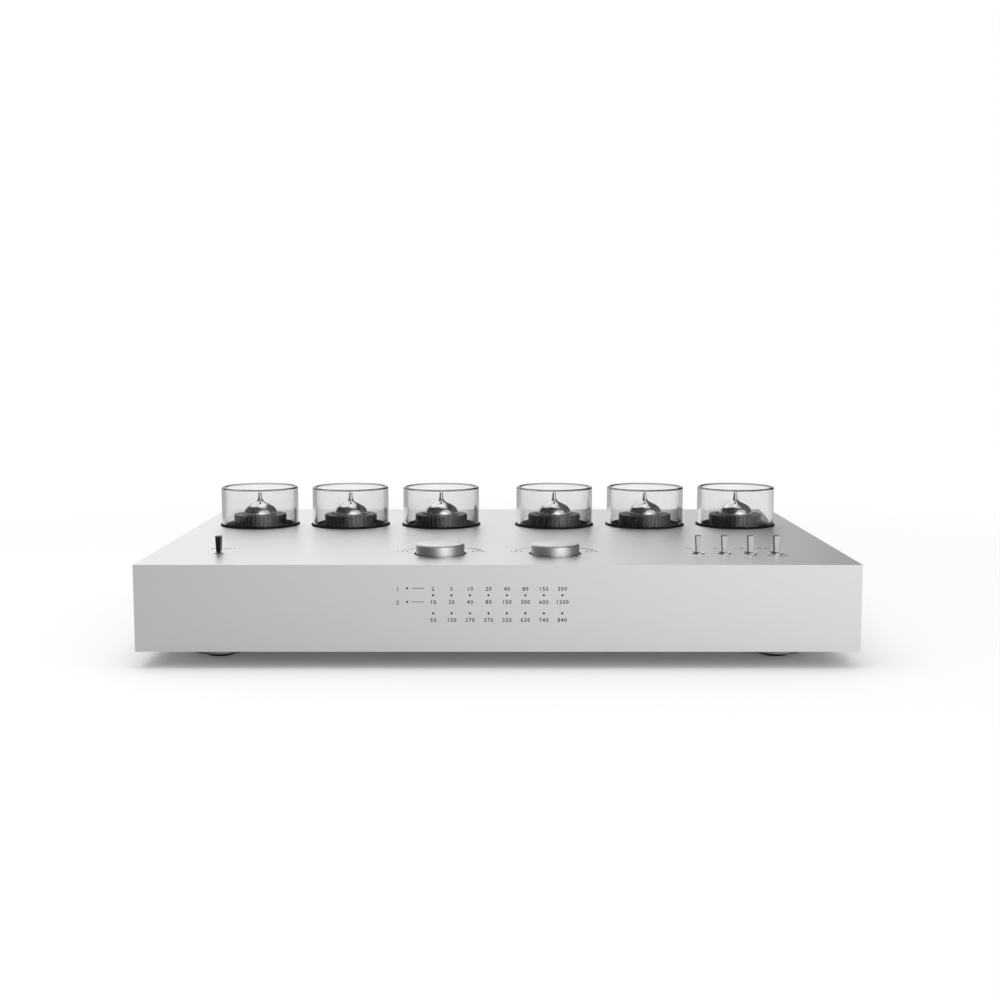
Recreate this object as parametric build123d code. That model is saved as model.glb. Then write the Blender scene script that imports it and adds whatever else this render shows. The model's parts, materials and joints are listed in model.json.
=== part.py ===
from build123d import *
import os
from math import atan, cos, degrees, pi, sin

# Phono preamplifier: a flat aluminium case on four feet, six valves standing in open glass
# chimneys on its top, two rotary selectors and five toggle switches along the front of the top.
# Millimetres. +X is to the right seen from the front, +Y to the rear, +Z up.
# The origin lies on the surface that the feet stand on, in the middle of the outline.

os.makedirs("parts", exist_ok=True)

# ---------------------------------------------------------------- driving dimensions
# Case
case_width = 434.0
case_depth = 280.0
case_height = 52.6
front_thickness = 8.0
top_thickness = 4.0
side_thickness = 4.0
rear_thickness = 3.0
bottom_thickness = 3.0
edge_chamfer = 0.5
panel_gap = 0.1
block_size = 12.0

# Feet
foot_radius = 17.5
foot_disc_height = 7.7
foot_pad_height = 2.8
foot_pad_inset = 8.0
foot_side_inset = 43.0
foot_end_inset = 43.0
foot_stud_radius = 2.5

# Case screws
screw_radius = 1.5
screw_length = 9.0
screw_head_radius = 2.8
screw_head_height = 1.7
screw_clearance = 0.15

# Valve stations: the gaps between their seats stretch together to fill the case's width
station_count = 6
station_side_gap = 15.0
station_gap = 8.9
station_centre_gap = 25.2
station_back = 187.5
chimney_radius = 27.5
chimney_wall = 2.75
chimney_rise = 27.9
seat_margin = 1.1
seat_thickness = 0.9

# Valves and their dampers
bulb_radius = 11.8
bulb_shoulder_rise = 9.3
dome_rise = 8.3
dome_shares = ((0.0, 1.0), (0.46, 0.8), (0.78, 0.45))
nipple_base_radius = 1.9
nipple_tip_radius = 1.15
nipple_length = 5.9
valve_length = 50.0
pin_count = 9
pin_pitch_radius = 5.95
pin_radius = 0.55
pin_length = 6.5
pin_clearance = 0.12
damper_radius = 18.85
damper_groove_depth = 3.2
damper_rise = 8.0
damper_fins = 24
fin_share = 0.56
damper_clearance = 0.1
valve_clearance = 1.2

# Selectors
selector_offset = 36.0
selector_back = 45.5
knob_radius = 15.2
knob_rise = 6.4
knob_bevel = 0.8
knob_recess_margin = 1.3
knob_recess_depth = 1.0
knob_float = 0.4
knob_crown = 2.4
notch_width = 1.1
notch_length = 2.4
notch_depth = 0.9
notch_angle = 29.0
shaft_radius = 3.0
shaft_clearance = 0.05
bushing_radius = 5.0
switch_side = 27.0
switch_height = 15.0
switch_floor = 2.0

# Toggle switches
toggle_back = 46.5
power_toggle_inset = 42.0
toggle_side_inset = 42.21
toggle_pitch = 16.33
toggle_count = 4
lever_rise = 11.7
lever_top_width = 3.5
lever_base_width = 2.4
lever_depth = 5.7
lever_lift = 1.4
lever_pivot_depth = 3.0
lever_stem_radius = 1.0
trunnion_radius = 0.8
trunnion_clearance = 0.06
trunnion_end_gap = 0.2
toggle_bushing_radius = 3.2
toggle_bore_radius = 2.3
toggle_body_width = 8.0
toggle_body_depth = 13.0
toggle_body_height = 11.0
bezel_radius = 4.35
power_bezel_radius = 3.9
bezel_height = 0.6

# Front display
lamp_columns = 8
lamp_pitch = 11.0
lamp_rows = (18.3, 29.2)
status_lamp_x = -54.0
status_lamp_rows = (14.1, 22.3)
lamp_hole_radius = 0.5
lamp_size = 1.6
lamp_depth = 1.0
display_margin = 8.0
display_width = 132.0
display_standoff = 1.6

# Circuit boards
board_thickness = 1.6
standoff_radius = 3.0
board_standoff_height = 8.0
board_inset = 6.0
board_back = 70.0
board_depth = 82.0
board_gap = 18.0
socket_radius = 10.5
socket_height = 8.0
valve_board_side_gap = 21.0
valve_board_depth = 46.0
signal_board_side_gap = 19.0
supply_board_gap = 12.0
supply_board_width = 104.0
capacitor_radius = 9.0
capacitor_height = 30.0
capacitor_pitch = 22.0
capacitor_count = 4
film_capacitor = (9.0, 26.0, 14.0)
film_capacitor_pitch = 15.0
film_capacitor_margin = 20.0

# Transformer
transformer_side_inset = 65.0
transformer_back = 112.0
transformer_radius = 42.0
transformer_bore = 15.0
transformer_height = 34.0
transformer_bevel = 5.0
clamp_radius = 24.0
clamp_thickness = 2.0
clamp_bolt_radius = 3.0
clamp_nut_radius = 5.8
clamp_nut_height = 4.0

# Mains inlet
inlet_side_inset = 52.0
inlet_flange = (31.0, 40.0)
inlet_flange_thickness = 2.5
inlet_body = (27.0, 36.0)
inlet_body_depth = 27.0
cavity_size = (24.2, 16.4)
cavity_depth = 17.0
cavity_lift = 8.0
cavity_corner = 3.5
blade_size = (2.0, 4.0)
blade_length = 13.5
blade_spread = 7.0
blade_drop = 1.5
drawer_size = (20.0, 9.0)
drawer_depth = 23.5
drawer_drop = 10.5
drawer_gap = 0.3
drawer_lip = 1.2
drawer_lip_thickness = 1.8
drawer_wall = 1.2
fuse_radius = 2.6
fuse_length = 20.0

# Signal sockets and ground terminal
phono_side_inset = 53.0
phono_pitch = 24.0
phono_pair_gap = 44.0
sleeve_radius = 4.15
sleeve_bore = 3.4
sleeve_length = 9.5
sleeve_collar_radius = 6.5
sleeve_collar = 2.0
sleeve_tail = 6.0
insulator_recess = 1.0
contact_radius = 1.65
contact_depth = 8.0
terminal_gap = 48.0
terminal_radius = 2.0
terminal_reach = 16.0
terminal_collar_radius = 6.0
terminal_collar = 2.0
terminal_tail = 6.0
terminal_clearance = 0.06
clamp_washer_radius = 5.5
clamp_washer_thickness = 1.2
thumb_nut_radius = 6.5
thumb_nut_length = 7.0
thumb_nut_gap = 0.1
thumb_nut_flutes = 12
thumb_nut_land = 0.6
thumb_nut_flute_depth = 0.65
connector_height = 25.0

# Sides of the prisms that stand for the round of parts that repeat
chimney_side_count = 36
round_side_count = 20
pad_side_count = 24
bushing_side_count = 16
small_side_count = 12

# Ventilation
vent_width = 3.0
vent_length = 34.0
vent_pitch = 9.0
vents_per_station = 3

# ---------------------------------------------------------------- derived levels and places
foot_height = foot_pad_height + foot_disc_height
case_bottom = foot_height
case_top = case_bottom + case_height
floor_top = case_bottom + bottom_thickness
roof = case_top - top_thickness
front_face = -(case_depth + terminal_reach) / 2
front_inside = front_face + front_thickness
rear_face = front_face + case_depth
rear_inside = rear_face - rear_thickness
side_inside = case_width / 2 - side_thickness
seat_level = case_top + seat_thickness
seat_radius = chimney_radius + seat_margin
station_y = front_face + station_back
selector_y = front_face + selector_back
toggle_y = front_face + toggle_back
valve_top = case_top + bulb_shoulder_rise + dome_rise + nipple_length
valve_base = valve_top - valve_length
valve_board_top = valve_base - socket_height
valve_hole_radius = bulb_radius + valve_clearance
connector_z = case_bottom + connector_height
board_top = floor_top + board_standoff_height + board_thickness
valve_board_width = 2 * (side_inside - valve_board_side_gap)
transformer_x = transformer_side_inset - case_width / 2
transformer_y = front_face + transformer_back
supply_board_x = transformer_x + transformer_radius + supply_board_gap
signal_board_x = supply_board_x + supply_board_width + board_gap
signal_board_width = side_inside - signal_board_side_gap - signal_board_x
inlet_x = inlet_side_inset - case_width / 2
phono_last_x = case_width / 2 - phono_side_inset
phono_xs = [phono_last_x - 2 * phono_pitch - phono_pair_gap, phono_last_x - phono_pitch - phono_pair_gap,
            phono_last_x - phono_pitch, phono_last_x]
terminal_x = phono_xs[0] - terminal_gap


def station_xs():
    """X of each valve station, as many on each side of the middle."""
    gaps = 2 * station_side_gap + (station_count - 2) * station_gap + station_centre_gap
    stretch = (case_width - 2 * station_count * seat_radius) / gaps
    first = stretch * station_centre_gap / 2 + seat_radius
    pitch = stretch * station_gap + 2 * seat_radius
    right = [first + i * pitch for i in range(station_count // 2)]
    return [-x for x in reversed(right)] + right


def toggle_xs():
    """X of each toggle switch, the power switch first."""
    last = case_width / 2 - toggle_side_inset
    row = [last - i * toggle_pitch for i in reversed(range(toggle_count))]
    return [power_toggle_inset - case_width / 2] + row


def block(x0, x1, y0, y1, z0, z1):
    """A box between two corners."""
    return Pos((x0 + x1) / 2, (y0 + y1) / 2, (z0 + z1) / 2) * Box(x1 - x0, y1 - y0, z1 - z0)


def rod(radius, z0, z1, x=0.0, y=0.0):
    """An upright cylinder between two levels."""
    return Pos(x, y, (z0 + z1) / 2) * Cylinder(radius, z1 - z0)


def prism(radius, sides, z0, z1, x=0.0, y=0.0):
    """An upright prism whose corners lie on the radius, as a bar has them."""
    return Pos(x, y, z0) * extrude(RegularPolygon(radius, sides), z1 - z0)


def bore(radius, sides, z0, z1, x=0.0, y=0.0):
    """An upright prism whose flats lie on the radius, as a hole needs them."""
    return Pos(x, y, z0) * extrude(RegularPolygon(radius, sides, major_radius=False), z1 - z0)


def taper_prism(radius, end_radius, sides, z0, z1):
    """An upright prism that narrows from one corner radius to another."""
    slope = degrees(atan((radius - end_radius) * cos(pi / sides) / (z1 - z0)))
    return Pos(0, 0, z0) * extrude(RegularPolygon(radius, sides), z1 - z0, taper=slope)


def star_face(count, share, radius, root_radius):
    """A face with flat-topped ridges round it: share is how much of each step its ridge takes."""
    step = 2 * pi / count
    outline = []
    for i in range(count):
        for part, reach in ((-share / 2, radius), (share / 2, radius), (0.5, root_radius)):
            angle = step * (i + part)
            outline.append((reach * cos(angle), reach * sin(angle)))
    return make_face(Polyline(outline, close=True))


def turned(points):
    """A solid turned about Z from (radius, z) points."""
    profile = make_face(Polyline([(r, 0, z) for r, z in points], close=True))
    return revolve(profile, Axis.Z)


def top_edges(part, level):
    """The straight edges of a plate's outline at one level."""
    return part.edges().filter_by(GeomType.LINE).filter_by(
        lambda e: abs(e.center().Z - level) < 1e-6 and abs(e.start_point().Z - e.end_point().Z) < 1e-6)


def write(name, solids):
    """Write one node's solids to its file."""
    items = list(solids) if isinstance(solids, (list, tuple)) else [solids]
    flat = [s for item in items for s in item.solids()]
    whole = flat[0] if len(flat) == 1 else Compound(children=flat)
    export_step(whole, os.path.join("parts", name + ".step"))


# ---------------------------------------------------------------- case
def screw_places():
    """The case screws: (point under the head, axis), four upwards and four forwards."""
    x = side_inside - block_size / 2
    y_front = front_inside + block_size / 2
    y_rear = rear_inside - block_size / 2
    z_low = floor_top + block_size
    z_high = roof - block_size
    upward = [(sx * x, y, case_bottom) for sx in (-1, 1) for y in (y_front, y_rear)]
    forward = [(sx * x, rear_face, z) for sx in (-1, 1) for z in (z_low, z_high)]
    return upward, forward


def screw_shapes(radius, head):
    """All case screws, or the holes for them, with a given shank radius."""
    upward, forward = screw_places()
    screw = prism(radius, 6, 0, screw_length)
    if head:
        screw += prism(screw_head_radius, small_side_count, -screw_head_height, 0)
    shapes = [Pos(x, y, z) * screw for x, y, z in upward]
    return shapes + [Pos(x, y, z) * Rot(90, 0, 0) * screw for x, y, z in forward]


def case_screws():
    return screw_shapes(screw_radius, True)


def foot_places():
    x = case_width / 2 - foot_side_inset
    return [(sx * x, y) for sx in (-1, 1)
            for y in (front_face + foot_end_inset, rear_face - foot_end_inset)]


def lamp_places():
    """The (x, z) of every indicator lamp."""
    columns = [(i - (lamp_columns - 1) / 2) * lamp_pitch for i in range(lamp_columns)]
    places = [(x, case_top - s) for s in lamp_rows for x in columns]
    return places + [(status_lamp_x, case_top - s) for s in status_lamp_rows]


def front_panel():
    panel = block(-case_width / 2, case_width / 2, front_face, front_inside, case_bottom, case_top)
    panel = chamfer(panel.faces().sort_by(Axis.Y)[0].edges(), edge_chamfer)
    hole = Rot(-90, 0, 0) * prism(lamp_hole_radius, 6, 0, front_thickness)
    return panel - [Pos(x, front_face, z) * hole for x, z in lamp_places()]


def top_plate():
    plate = block(-case_width / 2, case_width / 2, front_inside, rear_face, roof, case_top)
    outline = [e for e in top_edges(plate, case_top) if e.center().Y > front_inside + 1]
    plate = chamfer(outline, edge_chamfer)
    valve_hole = bore(valve_hole_radius, small_side_count, roof, case_top)
    toggle_hole = bore(toggle_bushing_radius + panel_gap, small_side_count, roof, case_top)
    selector_hole = bore(bushing_radius + panel_gap, bushing_side_count, roof, case_top)
    selector_hole += rod(knob_radius + knob_recess_margin, case_top - knob_recess_depth, case_top)
    plate -= [Pos(x, station_y, 0) * valve_hole for x in station_xs()]
    plate -= [Pos(x, toggle_y, 0) * toggle_hole for x in toggle_xs()]
    return plate - [Pos(sx * selector_offset, selector_y, 0) * selector_hole for sx in (-1, 1)]


def side_panel(side):
    x0, x1 = sorted((side * side_inside, side * case_width / 2))
    return block(x0, x1, front_inside, rear_inside, case_bottom, roof)


def rear_panel():
    panel = block(-case_width / 2, case_width / 2, rear_inside, rear_face, case_bottom, roof)
    width, height = inlet_body
    cuts = [block(inlet_x - width / 2 - panel_gap, inlet_x + width / 2 + panel_gap, rear_inside, rear_face,
                  connector_z - height / 2 - panel_gap, connector_z + height / 2 + panel_gap)]
    for x, radius in [(terminal_x, terminal_radius)] + [(x, sleeve_radius) for x in phono_xs]:
        hole = bore(radius + panel_gap, small_side_count, 0, rear_thickness)
        cuts.append(Pos(x, rear_face, connector_z) * Rot(90, 0, 0) * hole)
    return panel - cuts - screw_shapes(screw_radius + screw_clearance, False)


def bottom_plate():
    plate = block(-side_inside, side_inside, front_inside, rear_inside, case_bottom, floor_top)
    cuts = [prism(foot_stud_radius, 6, case_bottom, floor_top, x, y) for x, y in foot_places()]
    vent = block(-vent_width / 2, vent_width / 2, -vent_length / 2, vent_length / 2, case_bottom, floor_top)
    for x in station_xs():
        for i in range(vents_per_station):
            shift = (i - (vents_per_station - 1) / 2) * vent_pitch
            cuts.append(Pos(x + shift, station_y, 0) * vent)
    bolt = prism(clamp_bolt_radius + panel_gap, 6, case_bottom, floor_top, transformer_x, transformer_y)
    return plate - cuts - bolt - screw_shapes(screw_radius + screw_clearance, False)


def corner_blocks():
    x = side_inside - block_size / 2
    posts = [Pos(sx * x, y, (floor_top + roof) / 2) * Box(block_size, block_size, roof - floor_top)
             for sx in (-1, 1) for y in (front_inside + block_size / 2, rear_inside - block_size / 2)]
    holes = screw_shapes(screw_radius, False)
    return [post - holes for post in posts]


def foot_discs():
    low, high = foot_pad_height, foot_height
    disc = rod(foot_radius, low, high)
    stud = prism(foot_stud_radius, 6, high, floor_top)
    return [Pos(x, y, 0) * (disc + stud) for x, y in foot_places()]


def foot_pads():
    pad = prism(foot_radius - foot_pad_inset, pad_side_count, 0, foot_pad_height)
    return [Pos(x, y, 0) * pad for x, y in foot_places()]


# ---------------------------------------------------------------- valve stations
def valve_seats():
    """Black rings on the top plate that the chimneys and dampers stand on."""
    ring = prism(seat_radius, chimney_side_count, case_top, seat_level)
    ring -= bore(valve_hole_radius, small_side_count, case_top, seat_level)
    return [Pos(x, station_y, 0) * ring for x in station_xs()]


def chimney():
    """Open glass cylinder, made on the Z axis."""
    high = case_top + chimney_rise
    glass = prism(chimney_radius, chimney_side_count, seat_level, high)
    return glass - prism(chimney_radius - chimney_wall, chimney_side_count, seat_level, high)


def pin_spots():
    """Places of the base pins: ten divisions of the circle with one left out."""
    step = 2 * pi / (pin_count + 1)
    return [(pin_pitch_radius * cos(step * i), pin_pitch_radius * sin(step * i)) for i in range(pin_count)]


def valve():
    """Valve with its domed bulb, drawn-out nipple and base pins, made on the Z axis."""
    shoulder = case_top + bulb_shoulder_rise
    rings = [(bulb_radius * share, shoulder + rise * dome_rise) for rise, share in dome_shares]
    rings.append((nipple_base_radius, shoulder + dome_rise))
    bulb = prism(bulb_radius, round_side_count, valve_base, shoulder)
    for (radius, low), (end_radius, high) in zip(rings, rings[1:]):
        bulb += taper_prism(radius, end_radius, round_side_count, low, high)
    bulb += taper_prism(nipple_base_radius, nipple_tip_radius, round_side_count, rings[-1][1], valve_top)
    return bulb + [prism(pin_radius, 6, valve_base - pin_length, valve_base, x, y) for x, y in pin_spots()]


def damper():
    """Finned ring gripping the bulb, with V grooves between its fins, made on the Z axis."""
    ring = star_face(damper_fins, fin_share, damper_radius, damper_radius - damper_groove_depth)
    ring -= RegularPolygon(bulb_radius + damper_clearance, round_side_count, major_radius=False)
    return Pos(0, 0, seat_level) * extrude(ring, case_top + damper_rise - seat_level)


def valve_sockets():
    body = prism(socket_radius, small_side_count, valve_board_top, valve_base)
    body -= [bore(pin_radius + pin_clearance, 4, valve_board_top, valve_base, x, y) for x, y in pin_spots()]
    return [Pos(x, station_y, 0) * body for x in station_xs()]


# ---------------------------------------------------------------- circuit boards
def board_corners(x, width):
    """The standoff places of a board that lies over the floor."""
    y = front_face + board_back
    return [(x + a, y + b) for a in (board_inset, width - board_inset)
            for b in (board_inset, board_depth - board_inset)]


def valve_board_corners():
    x = valve_board_width / 2 - board_inset
    y = valve_board_depth / 2 - board_inset
    return [(sx * x, station_y + sy * y) for sx in (-1, 0, 1) for sy in (-1, 1)]


def valve_board():
    width, depth = valve_board_width / 2, valve_board_depth / 2
    return block(-width, width, station_y - depth, station_y + depth,
                 valve_board_top - board_thickness, valve_board_top)


def flat_board(x, width):
    y = front_face + board_back
    return block(x, x + width, y, y + board_depth, board_top - board_thickness, board_top)


def signal_board_assembly():
    """Signal board with its row of film capacitors."""
    length_x, length_y, height = film_capacitor
    count = int((signal_board_width - 2 * film_capacitor_margin) / film_capacitor_pitch)
    start = signal_board_x + signal_board_width / 2 - (count - 1) * film_capacitor_pitch / 2
    y = front_face + board_back + board_depth / 2
    board = flat_board(signal_board_x, signal_board_width)
    for i in range(count):
        cx = start + i * film_capacitor_pitch
        board += block(cx - length_x / 2, cx + length_x / 2, y - length_y / 2, y + length_y / 2,
                       board_top, board_top + height)
    return board


def reservoir_capacitors():
    start = supply_board_x + supply_board_width / 2 - (capacitor_count - 1) * capacitor_pitch / 2
    y = front_face + board_back + board_depth / 2
    high = board_top + capacitor_height
    return [prism(capacitor_radius, round_side_count, board_top, high, start + i * capacitor_pitch, y)
            for i in range(capacitor_count)]


def board_standoffs():
    low = board_top - board_thickness
    spots = board_corners(signal_board_x, signal_board_width)
    spots += board_corners(supply_board_x, supply_board_width)
    pillars = [prism(standoff_radius, 6, floor_top, low, x, y) for x, y in spots]
    pillars += [prism(standoff_radius, 6, floor_top, valve_board_top - board_thickness, x, y)
                for x, y in valve_board_corners()]
    return pillars


def display_levels():
    lowest = case_top - max(lamp_rows) - display_margin
    highest = case_top - min(status_lamp_rows) + display_margin
    return lowest, highest


def display_board():
    low, high = display_levels()
    y = front_inside + display_standoff
    board = block(-display_width / 2, display_width / 2, y, y + board_thickness, low, high)
    pillar = prism(standoff_radius, 6, 0, display_standoff)
    for sx in (-1, 1):
        for z in (low + standoff_radius, high - standoff_radius):
            board += Pos(sx * (display_width / 2 - standoff_radius), y, z) * Rot(90, 0, 0) * pillar
    return board


def indicator_lamps():
    y = front_inside + display_standoff
    lamp = block(-lamp_size / 2, lamp_size / 2, y - lamp_depth, y, -lamp_size / 2, lamp_size / 2)
    return [Pos(x, 0, z) * lamp for x, z in lamp_places()]


# ---------------------------------------------------------------- transformer
def power_transformer():
    low, high, b = floor_top, floor_top + transformer_height, transformer_bevel
    rounding = taper_prism(transformer_radius, transformer_radius - b, round_side_count, 0, b)
    coil = prism(transformer_radius, round_side_count, low + b, high - b)
    coil += [Pos(0, 0, low + b) * Rot(180, 0, 0) * rounding, Pos(0, 0, high - b) * rounding]
    coil -= prism(transformer_bore, round_side_count, low, high)
    return Pos(transformer_x, transformer_y, 0) * coil


def transformer_clamp():
    """Dished washer, through bolt and nut that hold the transformer down."""
    high = floor_top + transformer_height
    washer = prism(clamp_radius, round_side_count, high, high + clamp_thickness)
    bolt = prism(clamp_bolt_radius, 6, case_bottom, high)
    nut = prism(clamp_nut_radius, 6, high + clamp_thickness, high + clamp_thickness + clamp_nut_height)
    return Pos(transformer_x, transformer_y, 0) * (washer + bolt + nut)


# ---------------------------------------------------------------- rear connectors
def blade_places():
    return [(-blade_spread, -blade_drop), (0.0, blade_drop * 2), (blade_spread, -blade_drop)]


def drawer_space(gap):
    """The fuse drawer's shaft, or the drawer itself with a gap of zero."""
    width, height = drawer_size
    z = connector_z - drawer_drop
    outer = rear_face + inlet_flange_thickness
    return block(inlet_x - width / 2 - gap, inlet_x + width / 2 + gap, outer - drawer_depth - gap, outer,
                 z - height / 2 - gap, z + height / 2 + gap)


def mains_inlet():
    width, height = inlet_flange
    outer = rear_face + inlet_flange_thickness
    body = block(inlet_x - width / 2, inlet_x + width / 2, rear_face, outer,
                 connector_z - height / 2, connector_z + height / 2)
    width, height = inlet_body
    body += block(inlet_x - width / 2, inlet_x + width / 2, rear_face - inlet_body_depth, rear_face,
                  connector_z - height / 2, connector_z + height / 2)
    width, height = cavity_size
    z = connector_z + cavity_lift
    cavity = block(inlet_x - width / 2, inlet_x + width / 2, outer - cavity_depth, outer,
                   z - height / 2, z + height / 2)
    upper = cavity.edges().filter_by(Axis.Y).group_by(Axis.Z)[-1]
    cavity = chamfer(upper, cavity_corner)
    return body - cavity - drawer_space(drawer_gap)


def mains_blades():
    thickness, height = blade_size
    floor = rear_face + inlet_flange_thickness - cavity_depth
    z = connector_z + cavity_lift
    return [block(inlet_x + dx - thickness / 2, inlet_x + dx + thickness / 2, floor, floor + blade_length,
                  z + dz - height / 2, z + dz + height / 2) for dx, dz in blade_places()]


def fuse_drawer():
    outer = rear_face + inlet_flange_thickness
    width, height = drawer_size
    z = connector_z - drawer_drop
    lip = drawer_lip
    tray = drawer_space(0) + block(inlet_x - width / 2 - lip, inlet_x + width / 2 + lip, outer,
                                   outer + drawer_lip_thickness, z - height / 2 - lip, z + height / 2 + lip)
    pocket_end = outer - drawer_wall
    return tray - block(inlet_x - fuse_radius, inlet_x + fuse_radius, pocket_end - fuse_length, pocket_end,
                        z - fuse_radius, z + height / 2)


def fuse():
    end = rear_face + inlet_flange_thickness - drawer_wall
    body = prism(fuse_radius, small_side_count, 0, fuse_length)
    return Pos(inlet_x, end, connector_z - drawer_drop) * Rot(90, 0, 0) * body


def signal_sleeves():
    """Turned sleeves of the phono sockets, each with a collar against the rear panel."""
    tip = sleeve_collar + sleeve_length
    tail = -rear_thickness - sleeve_tail
    sleeve = rod(sleeve_radius, 0, tip) + prism(sleeve_radius, small_side_count, tail, 0)
    sleeve += prism(sleeve_collar_radius, small_side_count, 0, sleeve_collar)
    sleeve -= prism(sleeve_bore, small_side_count, tail, tip)
    return [Pos(x, rear_face, connector_z) * Rot(-90, 0, 0) * sleeve for x in phono_xs]


def signal_insulators():
    tip = sleeve_collar + sleeve_length - insulator_recess
    body = prism(sleeve_bore, small_side_count, -rear_thickness - sleeve_tail, tip)
    body -= prism(contact_radius, small_side_count, tip - contact_depth, tip)
    return [Pos(x, rear_face, connector_z) * Rot(-90, 0, 0) * body for x in phono_xs]


def ground_stud():
    stud = prism(terminal_radius, small_side_count, -rear_thickness - terminal_tail, terminal_reach)
    stud += prism(terminal_collar_radius, small_side_count, 0, terminal_collar)
    return Pos(terminal_x, rear_face, connector_z) * Rot(-90, 0, 0) * stud


def ground_washer():
    low, high = terminal_collar, terminal_collar + clamp_washer_thickness
    washer = prism(clamp_washer_radius, round_side_count, low, high)
    washer -= bore(terminal_radius + terminal_clearance, small_side_count, low, high)
    return Pos(terminal_x, rear_face, connector_z) * Rot(-90, 0, 0) * washer


def ground_nut():
    """Fluted thumb nut of the ground terminal."""
    low = terminal_collar + clamp_washer_thickness + thumb_nut_gap
    root = thumb_nut_radius - thumb_nut_flute_depth
    nut = extrude(star_face(thumb_nut_flutes, thumb_nut_land, thumb_nut_radius, root), thumb_nut_length)
    nut -= bore(terminal_radius + terminal_clearance, small_side_count, 0, thumb_nut_length)
    return Pos(terminal_x, rear_face, connector_z) * Rot(-90, 0, 0) * Pos(0, 0, low) * nut


# ---------------------------------------------------------------- selectors
def knob():
    """Turned knob with a bevelled rim, a pointer notch and a blind bore, made on the Z axis."""
    low = case_top - knob_recess_depth + knob_float
    high = case_top + knob_rise
    body = turned([(0, low), (knob_radius, low), (knob_radius, high - knob_bevel),
                   (knob_radius - knob_bevel, high), (0, high)])
    body -= bore(shaft_radius, bushing_side_count, low, high - knob_crown)
    notch = block(knob_radius - notch_length, knob_radius + notch_length, -notch_width / 2, notch_width / 2,
                  high - notch_depth, high + notch_depth)
    return body - Rot(0, 0, notch_angle) * notch


def selector_shaft():
    low = roof - switch_height + switch_floor
    return prism(shaft_radius, bushing_side_count, low, case_top + knob_rise - knob_crown)


def rotary_switches():
    """Switch bodies under the top plate, each with its bushing in the plate's hole."""
    side = switch_side / 2
    body = block(-side, side, -side, side, roof - switch_height, roof)
    body = chamfer(body.edges().filter_by(Axis.Z), side / 2)
    body += prism(bushing_radius, bushing_side_count, roof, case_top - knob_recess_depth)
    floor = roof - switch_height + switch_floor - panel_gap
    body -= bore(shaft_radius + shaft_clearance, bushing_side_count, floor, case_top)
    return [Pos(sx * selector_offset, selector_y, 0) * body for sx in (-1, 1)]


# ---------------------------------------------------------------- toggle switches
def toggle_pivot():
    return case_top - lever_pivot_depth


def trunnion_reach():
    return toggle_bushing_radius * cos(pi / small_side_count) - trunnion_end_gap


def toggle_switches():
    """Switch bodies under the top plate, each with a bushing that carries the lever's trunnions."""
    body = block(-toggle_body_width / 2, toggle_body_width / 2, -toggle_body_depth / 2, toggle_body_depth / 2,
                 roof - toggle_body_height, roof)
    body += prism(toggle_bushing_radius, small_side_count, roof, case_top)
    floor = toggle_pivot() - 2 * trunnion_radius
    body -= bore(toggle_bore_radius, small_side_count, floor, case_top)
    reach = trunnion_reach() + trunnion_clearance
    pivot_bore = bore(trunnion_radius + trunnion_clearance, small_side_count, 0, 2 * reach)
    body -= Pos(0, reach, toggle_pivot()) * Rot(90, 0, 0) * pivot_bore
    return [Pos(x, toggle_y, 0) * body for x in toggle_xs()]


def lever():
    """Tapered paddle on a stem with trunnions, made upright on the Z axis."""
    low = case_top + lever_lift
    high = case_top + lever_rise
    outline = [(-lever_base_width / 2, 0, low), (lever_base_width / 2, 0, low),
               (lever_top_width / 2, 0, high), (-lever_top_width / 2, 0, high)]
    paddle = extrude(make_face(Polyline(outline, close=True)), lever_depth / 2, both=True)
    stem = prism(lever_stem_radius, 8, toggle_pivot(), low)
    trunnions = prism(trunnion_radius, small_side_count, 0, 2 * trunnion_reach())
    return paddle + stem + Pos(0, trunnion_reach(), toggle_pivot()) * Rot(90, 0, 0) * trunnions


def toggle_bezels():
    high = case_top + bezel_height
    hole = bore(toggle_bore_radius, small_side_count, case_top, high)
    radii = [power_bezel_radius] + toggle_count * [bezel_radius]
    return [Pos(x, toggle_y, 0) * (prism(radius, round_side_count, case_top, high) - hole)
            for x, radius in zip(toggle_xs(), radii)]


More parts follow.
